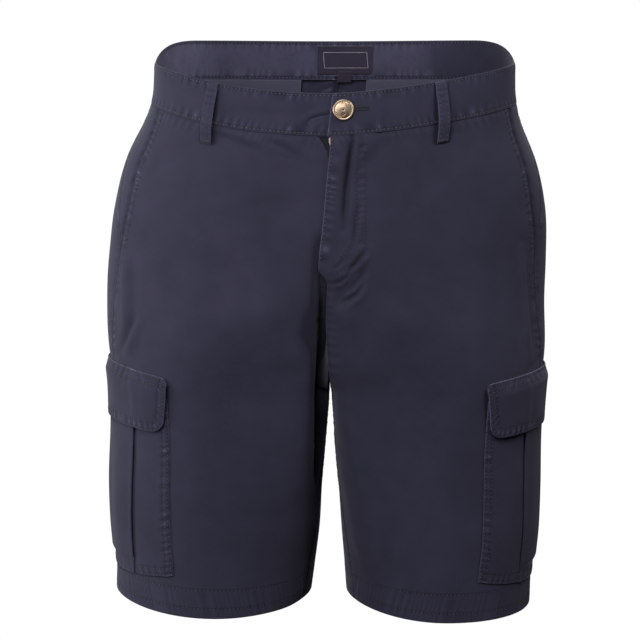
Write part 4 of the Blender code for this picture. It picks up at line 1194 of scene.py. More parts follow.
def add_waistband():
    """The two fronts and the back; gives the left front, which the buttonhole is sewn on."""
    fronts, halves = [], []
    for side, end, out in ((LEFT, over_end, over_end_out), (RIGHT, under_end, band_out)):
        name = f"waistband_front_{word(side)}"
        patch = add_band_part(name, side, end, SIDE_SEAM, out, FRONT_ROLL, "front")
        cloth(name, patch, "twill", BAND_SHELL)
        sew(name, stitch_lines(patch, BAND_ROWS), "band_thread")
        fronts.append(patch)
    for side in (LEFT, RIGHT):
        half = add_band_part("waistband_back", side, SIDE_SEAM,
                             lambda level: arc_at_x(level, 0, "back"), band_out, BACK_ROLL, "back")
        half.columns = (half.columns - half.columns[:, -1:]) * side
        halves.append(half)
    left, right = halves
    grid, columns, normals, wear = (
        np.concatenate([getattr(left, part), getattr(right, part)[:, -2::-1]], axis=1)
        for part in ("grid", "columns", "normals", "wear")
    )
    inner = np.arange(len(left.rows))[-len(left.outer):]
    patch, inside = (Patch(grid, left.rows, columns, normals, wear, rows)
                     for rows in (left.outer, inner))
    inside.normals = patch.normals
    patch.span = inside.span = (0, -BAND_HEIGHT)
    cloth("waistband_back", patch, "twill", BAND_SHELL)
    runs = stitch_lines(patch, BAND_ROWS) + stitch_lines(inside, BAND_ROWS)
    sew("waistband_back", runs, "band_thread")
    return fronts[0]


# ---- cargo pockets ----


def pleat_half(slit):
    """One side of the pocket's cross section: a strip, then a fold under the box and back."""
    low, middle, high = (SEWN_DOWN + THIN_WALL * (0.5 + 1.3 * layer) for layer in range(3))
    under = slit - PLEAT_DEPTH
    bend = (middle - low) / 2
    return [(POCKET_HALF, low), (under, low), (under - bend, (low + middle) / 2), (under, middle),
            (slit - BOX_INSET, middle), (slit - BOX_INSET + bend, (middle + high) / 2),
            (slit - BOX_INSET, high), (slit - 3 * MM, high + 0.2 * MM)]


def pleat_path(side):
    """The whole cross section: places across from the middle and heights, front edge first."""
    front = pleat_half(front_slit(side))
    back = pleat_half(2 * (POCKET_HALF - STRIP_WIDTH) - front_slit(side))
    crown = (0, back[-1][1] + BOX_CROWN)
    path = np.array(front + [crown] + [(-across, height) for across, height in reversed(back)])
    lengths = lengths_along(path)
    count = int(lengths[-1] / (1.9 * MM))
    places = np.unique(np.round(np.concatenate([lengths, np.linspace(0, lengths[-1], count)]), 6))
    spread = np.concatenate([[True], np.diff(places) > 0.35 * MM])
    places = np.unique(np.concatenate([places[spread], lengths]))
    return places, np.stack([np.interp(places, lengths, path[:, k]) for k in (0, 1)], axis=1)


def pocket_middle(side, levels):
    """Arcs of a cargo pocket's middle at these levels, as a column."""
    return each(SIDE_SEAM, levels) + POCKET_SHIFT[side]


def front_slit(side):
    """Where the box's front edge lies across from the pocket's middle."""
    return POCKET_HALF - STRIP_WIDTH + PLEAT_SHIFT[side]


POCKET_ROWS = tuple(Row(edge, -290, low, inset) for edge in ("start", "end")
                    for low, inset in ((-479, 1.8), (-472, 8.2)))
POCKET_ROWS += (Row("bottom", 0, -500, 2.0), Row("bottom", 0, -500, 8.2))
POCKET_SHELL, POCKET_ROLL = 0.8 * MM, 0.9 * MM
BOX_HEIGHT = 2.9 * MM  # what stands higher than this in the cross section is the pleat's box
BOX_WAVE, PLEAT_GAPE, GAPE_WIDTH = 1.1 * MM, 0.6 * MM, 5 * MM
SLIT_LEAN = {LEFT: 2 * MM, RIGHT: 6 * MM}  # how far the front slit leans back towards its end
LEAN_WIDTH = 18 * MM
SLIT_END, SLIT_FLUSH = 167 * MM, 0.9  # below this drop the pleat is pressed flush
UNDER_FLAP = 30 * MM


def add_cargo_pocket(side):
    name = f"cargo_pocket_{word(side)}"
    places, path = pleat_path(side)
    across, height = path.T
    depth = POCKET_TOP - POCKET_BOTTOM
    marks = [depth - row.inset * MM for row in POCKET_ROWS if row.edge == "bottom"]
    drops = spaced(depth, 2.0 * MM, marks)
    levels = POCKET_TOP - drops
    middle = pocket_middle(side, levels)
    share = (drops / drops[-1])[:, None]
    sag = POCKET_SAG * (1 - (across / POCKET_HALF) ** 2)
    lean = SLIT_LEAN[side] * share * bell(across - front_slit(side), LEAN_WIDTH)
    ground = surface(side, levels, middle + across[None, :] - lean, -sag[None, :] * share)
    zero = np.zeros(ground.x.shape)
    edges = {"start": places + zero, "end": places[-1] - places + zero,
             "bottom": levels[:, None] - POCKET_BOTTOM + zero, "top": drops[:, None] + zero}
    along = {"level": levels[:, None] + zero, "arc": across + zero}
    from_slit = POCKET_HALF - STRIP_WIDTH - np.abs(across - PLEAT_SHIFT[side])
    on_box = height > BOX_HEIGHT
    outer_part = (from_slit < -1 * MM) | on_box
    relief, wear = puckered(POCKET_PUCKERS, edges, along)
    # The stitch rows' troughs, with shade painted along them.
    sewn, dark = grooved(POCKET_ROWS, edges, along)
    relief, wear = (relief + sewn) * outer_part, (wear - dark) * outer_part
    t = np.clip((drops - UNDER_FLAP) / (drops[-1] - UNDER_FLAP), 0, 1)[:, None]
    wave = ease(from_slit, 0, 6 * MM) * wander(85 + side, across / (21 * MM))
    slack = 1 + 0.5 * wander(88 + side, drops / (26 * MM))[:, None]
    gape = PLEAT_GAPE * bell(from_slit, GAPE_WIDTH) * slack
    relief = relief + (BOX_WAVE * wave + gape) * on_box * np.sin(math.pi * t)
    for edge in ("start", "end", "bottom"):
        relief = relief + rolled(np.maximum(edges[edge], 0), POCKET_ROLL)
        wear = wear + rubbed_edge(edges[edge])
    flush = 1 - SLIT_FLUSH * ease(drops, SLIT_END - 4 * MM, SLIT_END + 4 * MM)[:, None]
    low = SEWN_DOWN + 0.5 * THIN_WALL
    patch = raised(ground, low + (height - low) * flush + relief, levels, places + zero, wear)
    cloth(name, patch, "twill", POCKET_SHELL)
    sew(name, stitch_lines(patch, POCKET_ROWS))


FLAP_PUCKERS = (
    Pucker("edge", 600, -600, 8, 8.4, 1.3, 5, 0.1, 101),
    Pucker("top", 600, -600, 8, 10, 0.9, 5, 0.2, 103),
)
FLAP_ROWS = tuple(Row(edge, 600, -600, inset) for edge in ("edge", "top") for inset in (2, 8))
FLAP_SHELL, FLAP_ROLL, FLAP_BILLOW, RIM_WEAR = 1.5 * MM, 1.3 * MM, 1.3 * MM, 0.9
FLAP_CURL = 0.45  # how much of its stand-off the flap loses at its side edges
FLAP_CURL_WIDTH = 26 * MM
PRESS_MARK, MARK_WIDTH = 0.4, 3.5 * MM  # wear over the front pleat, pressed through the flap


def corner_cut(into, radius):
    """How far a rounded corner stands in from its side edge, this far into the corner."""
    into = np.clip(into, 0, radius)
    return radius - np.sqrt(radius ** 2 - into ** 2)


def inside_corner(beside, beyond, radius):
    """The distance in from two edges that meet in a rounded corner."""
    across, down = np.clip(radius - beside, 0, None), np.clip(radius - beyond, 0, None)
    rounded = radius - np.hypot(across, down)
    nearer = np.minimum(beside, beyond)
    return np.clip(np.where((across > 0) & (down > 0), rounded, nearer), 0, None)


def flap_half(drop):
    return POCKET_HALF + FLAP_OVERHANG - FLAP_TAPER * drop / FLAP_HEIGHT


def flap_outline(inset):
    """A line this far inside the flap's edge: down one side, across and up the other."""
    corner, bottom = max(FLAP_CORNER - inset, 4 * MM), FLAP_HEIGHT - inset
    start = inset + 2 * MM
    run = [(drop, flap_half(drop) - inset) for drop in np.linspace(start, bottom - corner, 4)]
    middle = bottom - corner, flap_half(bottom) - inset - corner
    for turn in np.radians((15, 30, 45, 60, 75, 90)):
        run.append((middle[0] + corner * math.sin(turn), middle[1] + corner * math.cos(turn)))
    return run + [(drop, -across) for drop, across in reversed(run)]


def add_flap(side):
    name = f"cargo_flap_{word(side)}"
    straight, marks = FLAP_HEIGHT - FLAP_CORNER, (2 * MM, 8 * MM)
    drops = list(spaced(straight, 1.9 * MM, marks, edge=(0.4, 0.9)))
    drops += [straight + FLAP_CORNER * math.sin(math.radians(turn)) for turn in range(8, 91, 7)]
    drops = np.array(drops + [FLAP_HEIGHT])
    half, width = flap_half(drops), 2 * flap_half(0)
    reach = half - corner_cut(drops - straight, FLAP_CORNER)
    reach = reach - corner_cut(FLAP_TOP_CORNER - drops, FLAP_TOP_CORNER)
    across = reach[:, None] * (1 - 2 * spaced(width, 1.9 * MM, marks) / width)[None, :]
    levels = FLAP_TOP - drops
    middle = pocket_middle(side, levels)
    rise = FLAP_RISE[0] + (FLAP_RISE[1] - FLAP_RISE[0]) * drops / FLAP_HEIGHT
    lift = rise[:, None] * (1 - (across / half[:, None]) ** 2)
    ground = surface(side, levels, middle + across, lift)
    beside = half[:, None] - np.abs(across)
    from_top = drops[:, None] + 0 * across
    rim = inside_corner(beside, FLAP_HEIGHT - from_top, FLAP_CORNER)
    from_edge = np.minimum(rim, inside_corner(beside, from_top, FLAP_TOP_CORNER))
    edges = {"edge": rim, "top": from_top}
    up_side = np.where(beside < FLAP_HEIGHT - from_top, levels[:, None], 0)
    along = {"level": 0 * rim, "arc": across + up_side}
    relief, wear = puckered(FLAP_PUCKERS, edges, along)
    # Each stitch row's trough, with shade painted along it.
    for row in FLAP_ROWS:
        distance = edges[row.edge] / MM - row.inset
        relief = relief - GROOVE_DEPTH * bell(distance, GROOVE_WIDTH)
        wear = wear - ROW_PAINTED_SHADE * bell(distance, ROW_SHADE_WIDTH)
    wear = wear + RIM_WEAR * np.exp(-from_edge / FLAP_ROLL)
    pressed = bell(across - front_slit(side), MARK_WIDTH) * ease(rim, 0, 12 * MM)
    wear = wear + PRESS_MARK * pressed
    billow = FLAP_BILLOW * np.sin(math.pi * from_top / FLAP_HEIGHT)
    relief = relief + billow * (0.35 + 0.65 * wander(105 + side, across / (34 * MM)))
    curled = 1 - FLAP_CURL * ease(beside, FLAP_CURL_WIDTH, 2 * MM)
    rest = SEWN_DOWN + FLAP_WALL + FLAP_STAND_OFF * ease(from_top, *FLAP_STEP) * curled
    patch = raised(ground, rest + relief + rolled(from_edge, FLAP_ROLL), drops, across, wear)
    cloth(name, patch, "twill", FLAP_SHELL)
    runs = [traced(patch, flap_outline(inset)) for inset in marks]
    ends = [(inset, flap_half(inset) - 4 * MM) for inset in marks]
    sew(name, runs + [traced(patch, [(inset, end), (inset, -end)]) for inset, end in ends])


# ---- belt loops, back pockets and labels ----


LOOP_SHELL = 1.3 * MM
LOOP_START = -0.7 * MM  # its top end is level with the waistband's edge
LOOP_BOW = 4.5 * MM
LOOP_PUCKERS = (Pucker("rim", 600, -600, 12, 6.2, 0.55, 3, 0, 111),)
LOOP_INSET, LOOP_GROOVE, LOOP_GROOVE_WIDTH = 2.3, 0.35 * MM, 0.8
LOOP_ROWS = tuple(Row(edge, -4, -57, LOOP_INSET) for edge in ("start", "end"))
TACK_INSET, TACK_REACH = 2.2 * MM, LOOP_WIDTH / 2 - 1.2 * MM


def add_belt_loops():
    """Each loop is tacked at its top and bottom and stands off the waistband between."""
    t = np.unique(np.concatenate([np.linspace(0, 1, 41), (0.015, 0.035, 0.965, 0.985)]))
    levels = LOOP_START + (LOOP_BOTTOM - LOOP_START) * t
    marks = (LOOP_INSET * MM, LOOP_WIDTH - LOOP_INSET * MM)
    places = spaced(LOOP_WIDTH, 1.2 * MM, marks, edge=(0.3, 0.8))
    across = (places - LOOP_WIDTH / 2)[None, :]
    rim = LOOP_WIDTH / 2 - np.abs(across) + 0 * levels[:, None]
    zero = np.zeros(rim.shape)
    ends = np.minimum(t, 1 - t)[:, None] * (LOOP_START - LOOP_BOTTOM) + zero
    along = {"level": levels[:, None] + zero, "arc": levels[:, None] + zero}
    pucker, wear = puckered(LOOP_PUCKERS, {"rim": rim}, along)
    wear = wear + rubbed_edge(rim, 1.0 * MM)
    relief = rolled(rim, 1.2 * MM) + rolled(ends, 1.1 * MM) + pucker
    relief = relief - LOOP_GROOVE * bell(rim / MM - LOOP_INSET, LOOP_GROOVE_WIDTH)
    rest = BAND_OUT * ease(levels, -50 * MM, -44 * MM) + GAP + LOOP_WALL
    bow = LOOP_BOW * np.sin(math.pi * t ** 1.4) ** 0.8
    for loop in LOOPS:
        side = LEFT if loop.x_top >= 0 else RIGHT
        middle, _ = loop_middle(loop, side, levels)
        ground = surface(side, levels, middle + across)
        patch = raised(ground, (rest + bow)[:, None] + relief, levels, middle + across, wear)
        cloth(loop.name, patch, "twill", LOOP_SHELL)
        sew(loop.name, stitch_lines(patch, LOOP_ROWS))
        tacks = []
        for level in (levels[0] - TACK_INSET, levels[-1] + TACK_INSET):
            arc = np.interp(-level, -levels, middle[:, 0])
            tacks.append(traced(patch, [(level, arc - TACK_REACH), (level, arc + TACK_REACH)]))
        add_threads(f"{loop.name}_tacks", tacks, MATERIALS["thread"], *TACK, across=True)


BAG_PUCKERS = (
    Pucker("start", 0, -220, 6, 12, 0.8, 10, 0.2, 121),
    Pucker("end", 0, -220, 6, 12, 0.8, 10, 0, 123),
)
WELT_PUCKERS = (
    Pucker("top", 0, -300, 3, 8.5, 0.6, 6, 0, 131),
    Pucker("bottom", 0, -300, 3, 8.5, 0.6, 6, 0, 133),
)
BAG_SHELL, WELT_SHELL, WELT_ROLL = 0.6 * MM, 1.2 * MM, 1.2 * MM
WELT_ROWS = tuple(Row(edge, -80, -140, 1.8) for edge in ("start", "end", "top", "bottom"))


def add_back_pocket(side):
    """The bag inside the back and the welt on its outside."""

    def across(distance):
        return lambda level: arc_at_x(level, 0, "back") + distance

    def welt_out(level, x):
        from_middle = abs(level - WELT_TOP + WELT_HEIGHT / 2)
        return WALL + GAP + rolled(WELT_HEIGHT / 2 - from_middle, WELT_ROLL)

    bag, welt = f"back_pocket_bag_{word(side)}", f"back_pocket_welt_{word(side)}"
    patch = lay(
        bag, side, lines_down(-BAND_HEIGHT + 0.6 * MM, BAG_BOTTOM, 4 * MM), across(BAG_ACROSS[1]),
        across(BAG_ACROSS[0]), 4 * MM, -(WALL + BAG_GAP), BAG_PUCKERS,
    )
    cloth(bag, patch, "pocket_cloth", BAG_SHELL)
    patch = lay(
        welt, side, lines_down(WELT_TOP, WELT_TOP - WELT_HEIGHT, 1.4 * MM), across(WELT_ACROSS[1]),
        across(WELT_ACROSS[0]), 2.0 * MM, welt_out, WELT_PUCKERS, WELT_ROWS,
        roll=(WELT_ROLL, WELT_ROLL),
    )
    cloth(welt, patch, "twill", WELT_SHELL)
    sew(welt, stitch_lines(patch, WELT_ROWS))


LABEL_SHELL = 0.5 * MM
LABEL_FRAME = (6.0 * MM, 6.5 * MM)  # the woven frame line's distance in from the edges
FRAME_STITCH = (1.0 * MM, 1.1 * MM, 0.36 * MM)
LABEL_LIFT, LABEL_LAYER = 0.15 * MM, 0.6 * MM
LABEL_ROWS = tuple(Row(edge, 100, -200, 1.3) for edge in ("start", "end", "top", "bottom"))


def label_arc(distance):
    return lambda level: arc_at_x(level, LABEL_MIDDLE_X + distance, "back")


def reverse_run(run):
    """The same run on the reverse of a label."""
    points, normals = run
    return points - normals * LABEL_SHELL, -normals


def add_labels():
    """The bare main label and the bare size tab, inside the back of the waistband."""
    labels = (
        ("main_label", LABEL_SIZE, LABEL_TOP, LABEL_LIFT, LABEL_ROWS),
        ("size_tab", TAB_SIZE, TAB_TOP, LABEL_LIFT + LABEL_LAYER, LABEL_ROWS[2:3]),
    )
    for name, (width, height), top, layer, rows in labels:
        out = -BAND_WALL - layer
        patch = lay(
            name, LEFT, lines_down(top, top - height, 1.5 * MM), label_arc(-width / 2),
            label_arc(width / 2), 1.5 * MM, lambda level, x: band_out(level, x) + out,
        )
        cloth(name, patch, "label_cloth", LABEL_SHELL)
        runs = [reverse_run(run) for run in stitch_lines(patch, rows)]
        add_threads(f"{name}_stitches", runs, MATERIALS["dark_thread"], *FINE_STITCH)
        if name == "main_label":
            high, low = top - LABEL_FRAME[1], top - height + LABEL_FRAME[1]
            middle, reach = label_arc(0)(high), width / 2 - LABEL_FRAME[0]
            left, right = middle - reach, middle + reach
            corners = [(high, left), (high, right), (low, right), (low, left), (high, left)]
            line = [reverse_run(traced(patch, corners))]
            add_threads("label_frame", line, MATERIALS["pale_thread"], *FRAME_STITCH)


# ---- zip and button ----

TAPE_TOP, TAPE_END = -41 * MM, -160 * MM
TOOTH_PITCH, TOOTH_WIDTH, TOOTH_HEIGHT = 1.8 * MM, 2.2 * MM, 1.0 * MM
CLOSED_FROM = -50 * MM  # the teeth mesh below the slider
TOOTH_OUTLINE = ((-0.8, -0.7), (-0.4, -1), (1, -1), (1, 1), (-0.4, 1), (-0.8, 0.7))
TOOTH_HALF = (TOOTH_WIDTH / 2, TOOTH_PITCH * 0.27)
TAPE_SHELL = 0.7 * MM


def local_frame(side, level, x, out):
    """A frame on the front: X across, Y up the surface, Z straight out of it."""
    angle = np.array([angle_at_x(level, x * side, "front")])
    levels = np.array([level])
    outward = Vector(body_normal(side, levels, angle)[0])
    origin = body_point(side, levels, angle)[0] + out * np.array(outward)
    across = Vector((0, 0, 1)).cross(outward).normalized()
    turn = Matrix((across, outward.cross(across), outward)).transposed().to_4x4()
    return Matrix.Translation(Vector(origin)) @ turn


def add_zip_tapes():
    """The tapes behind the fly and the two rows of teeth along their inner edges."""
    for side in (LEFT, RIGHT):
        name = f"zip_tape_{word(side)}"
        near = side * ZIP_X + 0.5 * GAP
        patch = lay(
            name, side, lines_down(TAPE_TOP, TAPE_END, 3 * MM),
            lambda level: arc_at_x(level, near, "front"),
            lambda level: arc_at_x(level, near + TAPE_WIDTH, "front"), 1.5 * MM, TAPE_OUT,
        )
        cloth(name, patch, "zip_tape", TAPE_SHELL)
        vertices, faces = [], []
        shift = 0 if side == LEFT else TOOTH_PITCH / 2
        for level in np.arange(CLOSED_FROM - 2 * MM - shift, TAPE_END + 4 * MM, -TOOTH_PITCH):
            place = local_frame(side, level, side * (near + 0.35 * TOOTH_WIDTH), TAPE_OUT)
            first = len(vertices)
            for z in (-TOOTH_HEIGHT / 2, TOOTH_HEIGHT / 2):
                vertices += [tuple(place @ Vector((x * side * TOOTH_HALF[0], y * TOOTH_HALF[1], z)))
                             for x, y in TOOTH_OUTLINE]
            faces += [[first + k for k in range(5, -1, -1)], [first + 6 + k for k in range(6)]]
            faces += [[first + k, first + (k + 1) % 6, first + 6 + (k + 1) % 6, first + 6 + k]
                      for k in range(6)]
        worn(make_mesh(f"zip_teeth_{word(side)}", vertices, faces, MATERIALS["brass"]))


BUTTON_PROFILE = (  # radius and height in millimetres, from the middle of the face to the foot
    (0, 3.0), (3, 2.96), (6, 2.6), (8.1, 2.12), (8.6, 2.2), (9.2, 2.25), (9.7, 1.95), (10.0, 1.5),
    (10.1, 1.1), (9.95, 0.65), (9.4, 0.3), (8.6, 0.12),
)
BUTTON_TURNS, BUTTON_RINGS, RING_DASHES = 180, 56, 30
DASH_RADIUS, PIT_DROP, ENGRAVED = 7.1 * MM, 3.9 * MM, 0.3 * MM
FACE_HIDDEN = 2.7 * MM
# Distances at which each sunk detail has faded out and at which it is at full depth.
FACE_ENDS, DASH_ENDS, DIMPLE_ENDS = (10.2 * MM, 9.8 * MM), (1.15 * MM, 0.85 * MM), (1.0 * MM, 0.5 * MM)
PIT_ENDS, PIT_KNOB, PIT_KNOB_ENDS = (1.7 * MM, 1.3 * MM), 0.6, (0.8 * MM, 0.4 * MM)


def add_button():
    """The jeans button with a ring of plain dashes, a centre dimple and a pit below it."""
    lap = OVER_END_OUT - BAND_OUT + GAP
    profile = np.array(BUTTON_PROFILE) * MM
    lengths = lengths_along(profile)
    places = np.linspace(0, lengths[-1], BUTTON_RINGS)[1:]
    radius, height = (np.interp(places, lengths, profile[:, k])[:, None] for k in (0, 1))
    turn = (2 * math.pi * np.arange(BUTTON_TURNS) / BUTTON_TURNS)[None, :]
    face = ease(places, *FACE_ENDS)[:, None]
    dash = ease(np.cos(turn * RING_DASHES), 0.15, 0.6) * (0.6 + 0.4 * np.cos(3 * turn + 1))
    ring = ease(np.abs(radius - DASH_RADIUS), *DASH_ENDS)
    x, y = radius * np.cos(turn), radius * np.sin(turn)
    dimple = ease(radius, *DIMPLE_ENDS)
    from_pit = np.hypot(x, y + PIT_DROP)
    pit = ease(from_pit, *PIT_ENDS) - PIT_KNOB * ease(from_pit, *PIT_KNOB_ENDS)
    sunk = face * np.clip(ring * dash + dimple + pit, 0, 1)
    points = np.stack([x, y, height - ENGRAVED * sunk + lap], axis=-1).reshape(-1, 3)
    points = np.concatenate([points, [(0, 0, FACE_HIDDEN + lap), (0, 0, lap)]])
    rows, count = radius.shape[0], BUTTON_TURNS
    faces = []
    for k in range(count):
        after = (k + 1) % count
        faces.append((rows * count, k, after))
        faces.append((rows * count + 1, (rows - 1) * count + after, (rows - 1) * count + k))
        faces += [(low + k, low + count + k, low + count + after, low + after)
                  for low in range(0, (rows - 1) * count, count)]
    wear = np.concatenate([sunk.ravel(), [1, 0]])
    button = make_mesh("button_cap", points, faces, MATERIALS["brass"], wear=wear)
    button.matrix_world = local_frame(LEFT, BUTTON_LEVEL, BUTTON_X, BAND_OUT + GAP)
    worn(button)
    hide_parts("button")


HOLE_HALF, HOLE_END_HALF = 1.3 * MM, 2.4 * MM


def add_buttonhole(band):
    """Close stitches round the slot that runs back from the button."""
    start, end = BUTTON_X + 8 * MM, BUTTONHOLE_END_X
    runs = [traced(band, [(level, arc_at_x(level, x, "front")) for x in (start, end)])
            for level in (BUTTON_LEVEL - HOLE_HALF, BUTTON_LEVEL + HOLE_HALF)]
    last = arc_at_x(BUTTON_LEVEL, end, "front") - 0.6 * MM
    runs.append(traced(band, [(BUTTON_LEVEL + way * HOLE_END_HALF, last) for way in (-1, 1)]))
    add_threads("buttonhole_stitches", runs, MATERIALS["dark_thread"], *HOLE_STITCH, across=True)


# ---- materials ----


class Surface:
    """A material whose nodes are added in short lines."""

    def __init__(self, name):
        self.material = bpy.data.materials.new(name)
        self.material.use_nodes = True
        self.tree = self.material.node_tree
        self.shader = self.tree.nodes["Principled BSDF"]

    def add(self, kind, settings=(), **inputs):
        """A node; inputs are values or other nodes' outputs, by socket name with _ for a space."""
        made = self.tree.nodes.new(f"ShaderNode{kind}")
        for key, value in dict(settings).items():
            setattr(made, key, value)
        for key, value in inputs.items():
            self.put(made, key.replace("_", " "), value)
        return made

    def put(self, made, name, value):
        slot = made.inputs[int(name[1:])] if name[1:].isdigit() else made.inputs[name]
        if isinstance(value, bpy.types.NodeSocket):
            self.tree.links.new(value, slot)
        else:
            slot.default_value = value

    def sums(self, operation, first, second):
        return self.add("Math", {"operation": operation}, i0=first, i1=second).outputs[0]

    def between(self, share, first, second):
        mix = self.add("Mix", {"data_type": "RGBA"}, i0=share, i6=first, i7=second)
        return mix.outputs[2]

    def band(self, value, low, high):
        made = self.add("MapRange", {"clamp": True}, Value=value, From_Min=low, From_Max=high)
        return made.outputs[0]

    def noise(self, vector, scale, detail):
        return self.add("TexNoise", Vector=vector, Scale=scale, Detail=detail).outputs[0]

    def place(self):
        return self.add("TexCoord").outputs["Object"]

    def look(self, **inputs):
        """Sets the shader's sockets, named with _ for a space."""
        for key, value in inputs.items():
            self.put(self.shader, key.replace("_", " "), value)

    def bumped(self, height, strength, distance):
        """The finished material, with its surface bumped by a height."""
        bump = self.add("Bump", Height=height, Strength=strength, Distance=distance * MM)
        self.look(Normal=bump.outputs[0])
        return self.material

    def total(self, first, *others):
        for other in others:
            first = self.sums("ADD", first, other)
        return first

    def times(self, first, second):
        return self.sums("MULTIPLY", first, second)


def colour(red, green, blue):
    """A linear colour from display values."""
    return tuple(((v / 255 + 0.055) / 1.055) ** 2.4 for v in (red, green, blue)) + (1.0,)


Weave = namedtuple("Weave", "deep pale bare lean pitch relief mottle sheen roughness")
WEAVES = {
    "twill": Weave((38, 37, 53), (74, 72, 97), (118, 116, 143), -28, 1.1, 0.12, 0.35, 0.2, 0.85),
    "pocket_cloth": Weave(
        (80, 80, 102), (114, 114, 138), (120, 120, 142), 0, 0.7, 0.06, 0.3, 0.2, 0.85),
    "label_cloth": Weave((54, 47, 64), (74, 67, 86), (88, 82, 100), 0, 0.5, 0.04, 0.2, 0.1, 0.5),
    "zip_tape": Weave((30, 30, 43), (46, 46, 62), (54, 54, 72), 0, 0.8, 0.08, 0.25, 0.1, 0.85),
}
THREADS = {
    "thread": ((50, 49, 68), (80, 79, 102)),
    "band_thread": ((62, 61, 80), (92, 91, 112)),
    "fly_thread": ((38, 37, 54), (58, 57, 78)),
    "dark_thread": ((24, 24, 34), (40, 39, 52)),
    "pale_thread": ((150, 146, 160), (196, 192, 204)),
    # painted shade: the small dark sheets over the needle holes
    "needle_hole_shade": ((14, 14, 22), (22, 22, 32)),
}
BRASS = ((236, 212, 186), (196, 164, 128), (92, 66, 44))  # bright, dull and dark


# Noise scales: along and across the yarns both ways, then of broad and small faded patches.
WARP_SCALE, WEFT_SCALE, BROAD_SCALE, PATCH_SCALE = (1700, 240, 1), (260, 1900, 1), 11.0, 55.0


def woven(name, weave):
    """A woven cloth: slanted ribs, uneven yarns, soft patches of fade, pale worn ridges, and the light
    and shade painted into each piece's wear-and-shade value.
    """
    s = Surface(name)
    deep, pale, bare = colour(*weave.deep), colour(*weave.pale), colour(*weave.bare)
    mottle, pitch, lean = weave.mottle, weave.pitch * MM, math.radians(weave.lean)
    cut = s.add("UVMap", {"uv_map": "cut"}).outputs[0]
    turned = s.add("Mapping", Vector=cut, Rotation=(0, 0, lean)).outputs[0]
    ribs = s.add(
        "TexWave", {"bands_direction": "X"}, Vector=turned, Scale=0.314 / pitch, Distortion=1.2,
        Detail=1.0, Detail_Scale=2.0,
    ).outputs["Fac"]
    yarns = s.add("Mapping", Vector=cut, Scale=WARP_SCALE).outputs[0]
    slub = s.noise(yarns, 1.0, 2.0)
    weft = s.add("Mapping", Vector=cut, Scale=WEFT_SCALE).outputs[0]
    cross = s.noise(weft, 1.0, 1.0)
    place = s.place()
    broad = s.noise(place, BROAD_SCALE, 2.0)
    patches = s.noise(place, PATCH_SCALE, 3.0)
    wear = s.add("Attribute", {"attribute_name": "wear"}).outputs["Fac"]
    fade = s.total(s.times(broad, 0.9), s.times(patches, 0.6), s.times(slub, 0.5))
    fade = s.band(fade, 1.0 - mottle, 1.0 + mottle)
    share = s.total(s.times(fade, 0.36), s.times(wear, 0.5), 0.26)
    base = s.between(share, deep, pale)
    # The bare tone goes where that value is high: on rubbed wear, and where light is painted on the
    # cloth's reverse.
    rubbed = s.times(s.band(wear, 0.4, 1.15), s.band(s.total(slub, patches), 0.4, 1.1))
    s.look(
        Base_Color=s.between(rubbed, base, bare), Roughness=weave.roughness,
        Specular_IOR_Level=0.25, Sheen_Weight=weave.sheen, Sheen_Roughness=0.45,
        Sheen_Tint=(0.80, 0.80, 0.92, 1.0),
    )
    height = s.total(s.times(ribs, 0.6), s.times(s.total(slub, cross), 0.35))
    return s.bumped(height, 0.5, weave.relief)


def spun(name, deep, pale):
    """Sewing thread of two plies, shown as a fine uneven tone with a fine bump."""
    s = Surface(name)
    place = s.place()
    share = s.band(s.noise(place, 900.0, 1.0), 0.3, 0.7)
    s.look(Base_Color=s.between(share, deep, pale), Roughness=0.7, Sheen_Weight=0.2)
    return s.bumped(s.noise(place, 2600.0, 1.0), 0.4, 0.1)


def cast_brass(name, bright, dull, dark):
    """Antique brass: bright where rubbed, dark in the sunk places, with fine scuffs."""
    s = Surface(name)
    place = s.place()
    clouds = s.noise(place, 260.0, 3.0)
    grain = s.noise(place, 1800.0, 2.0)
    sunk = s.add("Attribute", {"attribute_name": "wear"}).outputs["Fac"]
    metal = s.between(s.band(clouds, 0.35, 0.7), bright, dull)
    rough = s.add("MapRange", Value=grain, To_Min=0.26, To_Max=0.48).outputs[0]
    base = s.between(s.band(sunk, 0.1, 0.9), metal, dark)
    s.look(Base_Color=base, Metallic=1.0, Roughness=rough)
    return s.bumped(grain, 0.25, 0.05)


# ---- stage, light and camera ----

LENS, SENSOR = 147.5, 36.0
CAMERA_PLACE = (-0.00793, -2.6, 0.171)
CAMERA_DIP, CAMERA_ROLL = math.radians(8.9), math.radians(1.0)
FLOOR_LEVEL, WALL_TOP, STAGE_RADIUS, STAGE_SIDES, STAGE_GLOW = -1.2, 9.0, 9.0, 64, 1.02


def add_stage():
    """A pale floor and a wall all round it, seen but giving no light."""
    pale = bpy.data.materials.new("pale_stage")
    pale.use_nodes = True
    pale.node_tree.nodes.clear()
    glow = pale.node_tree.nodes.new("ShaderNodeEmission")
    output = pale.node_tree.nodes.new("ShaderNodeOutputMaterial")
    pale.node_tree.links.new(glow.outputs[0], output.inputs[0])
    glow.inputs["Strength"].default_value = STAGE_GLOW
    pale.cycles.emission_sampling = "NONE"
    count, radius = STAGE_SIDES, STAGE_RADIUS
    turns = [2 * math.pi * k / count for k in range(count)]
    vertices = [(radius * math.cos(t), radius * math.sin(t), FLOOR_LEVEL) for t in turns]
    vertices += [(x, y, WALL_TOP) for x, y, _ in vertices]
    walls = [(k, (k + 1) % count, count + (k + 1) % count, count + k) for k in range(count)]
    for name, faces in (("floor", [tuple(range(count))]), ("backdrop", walls),
                        ("ceiling", [tuple(range(2 * count - 1, count - 1, -1))])):
        thing = make_mesh(name, vertices, faces, pale)
        for ray in ("visible_diffuse", "visible_glossy", "visible_shadow", "visible_transmission"):
            setattr(thing, ray, False)


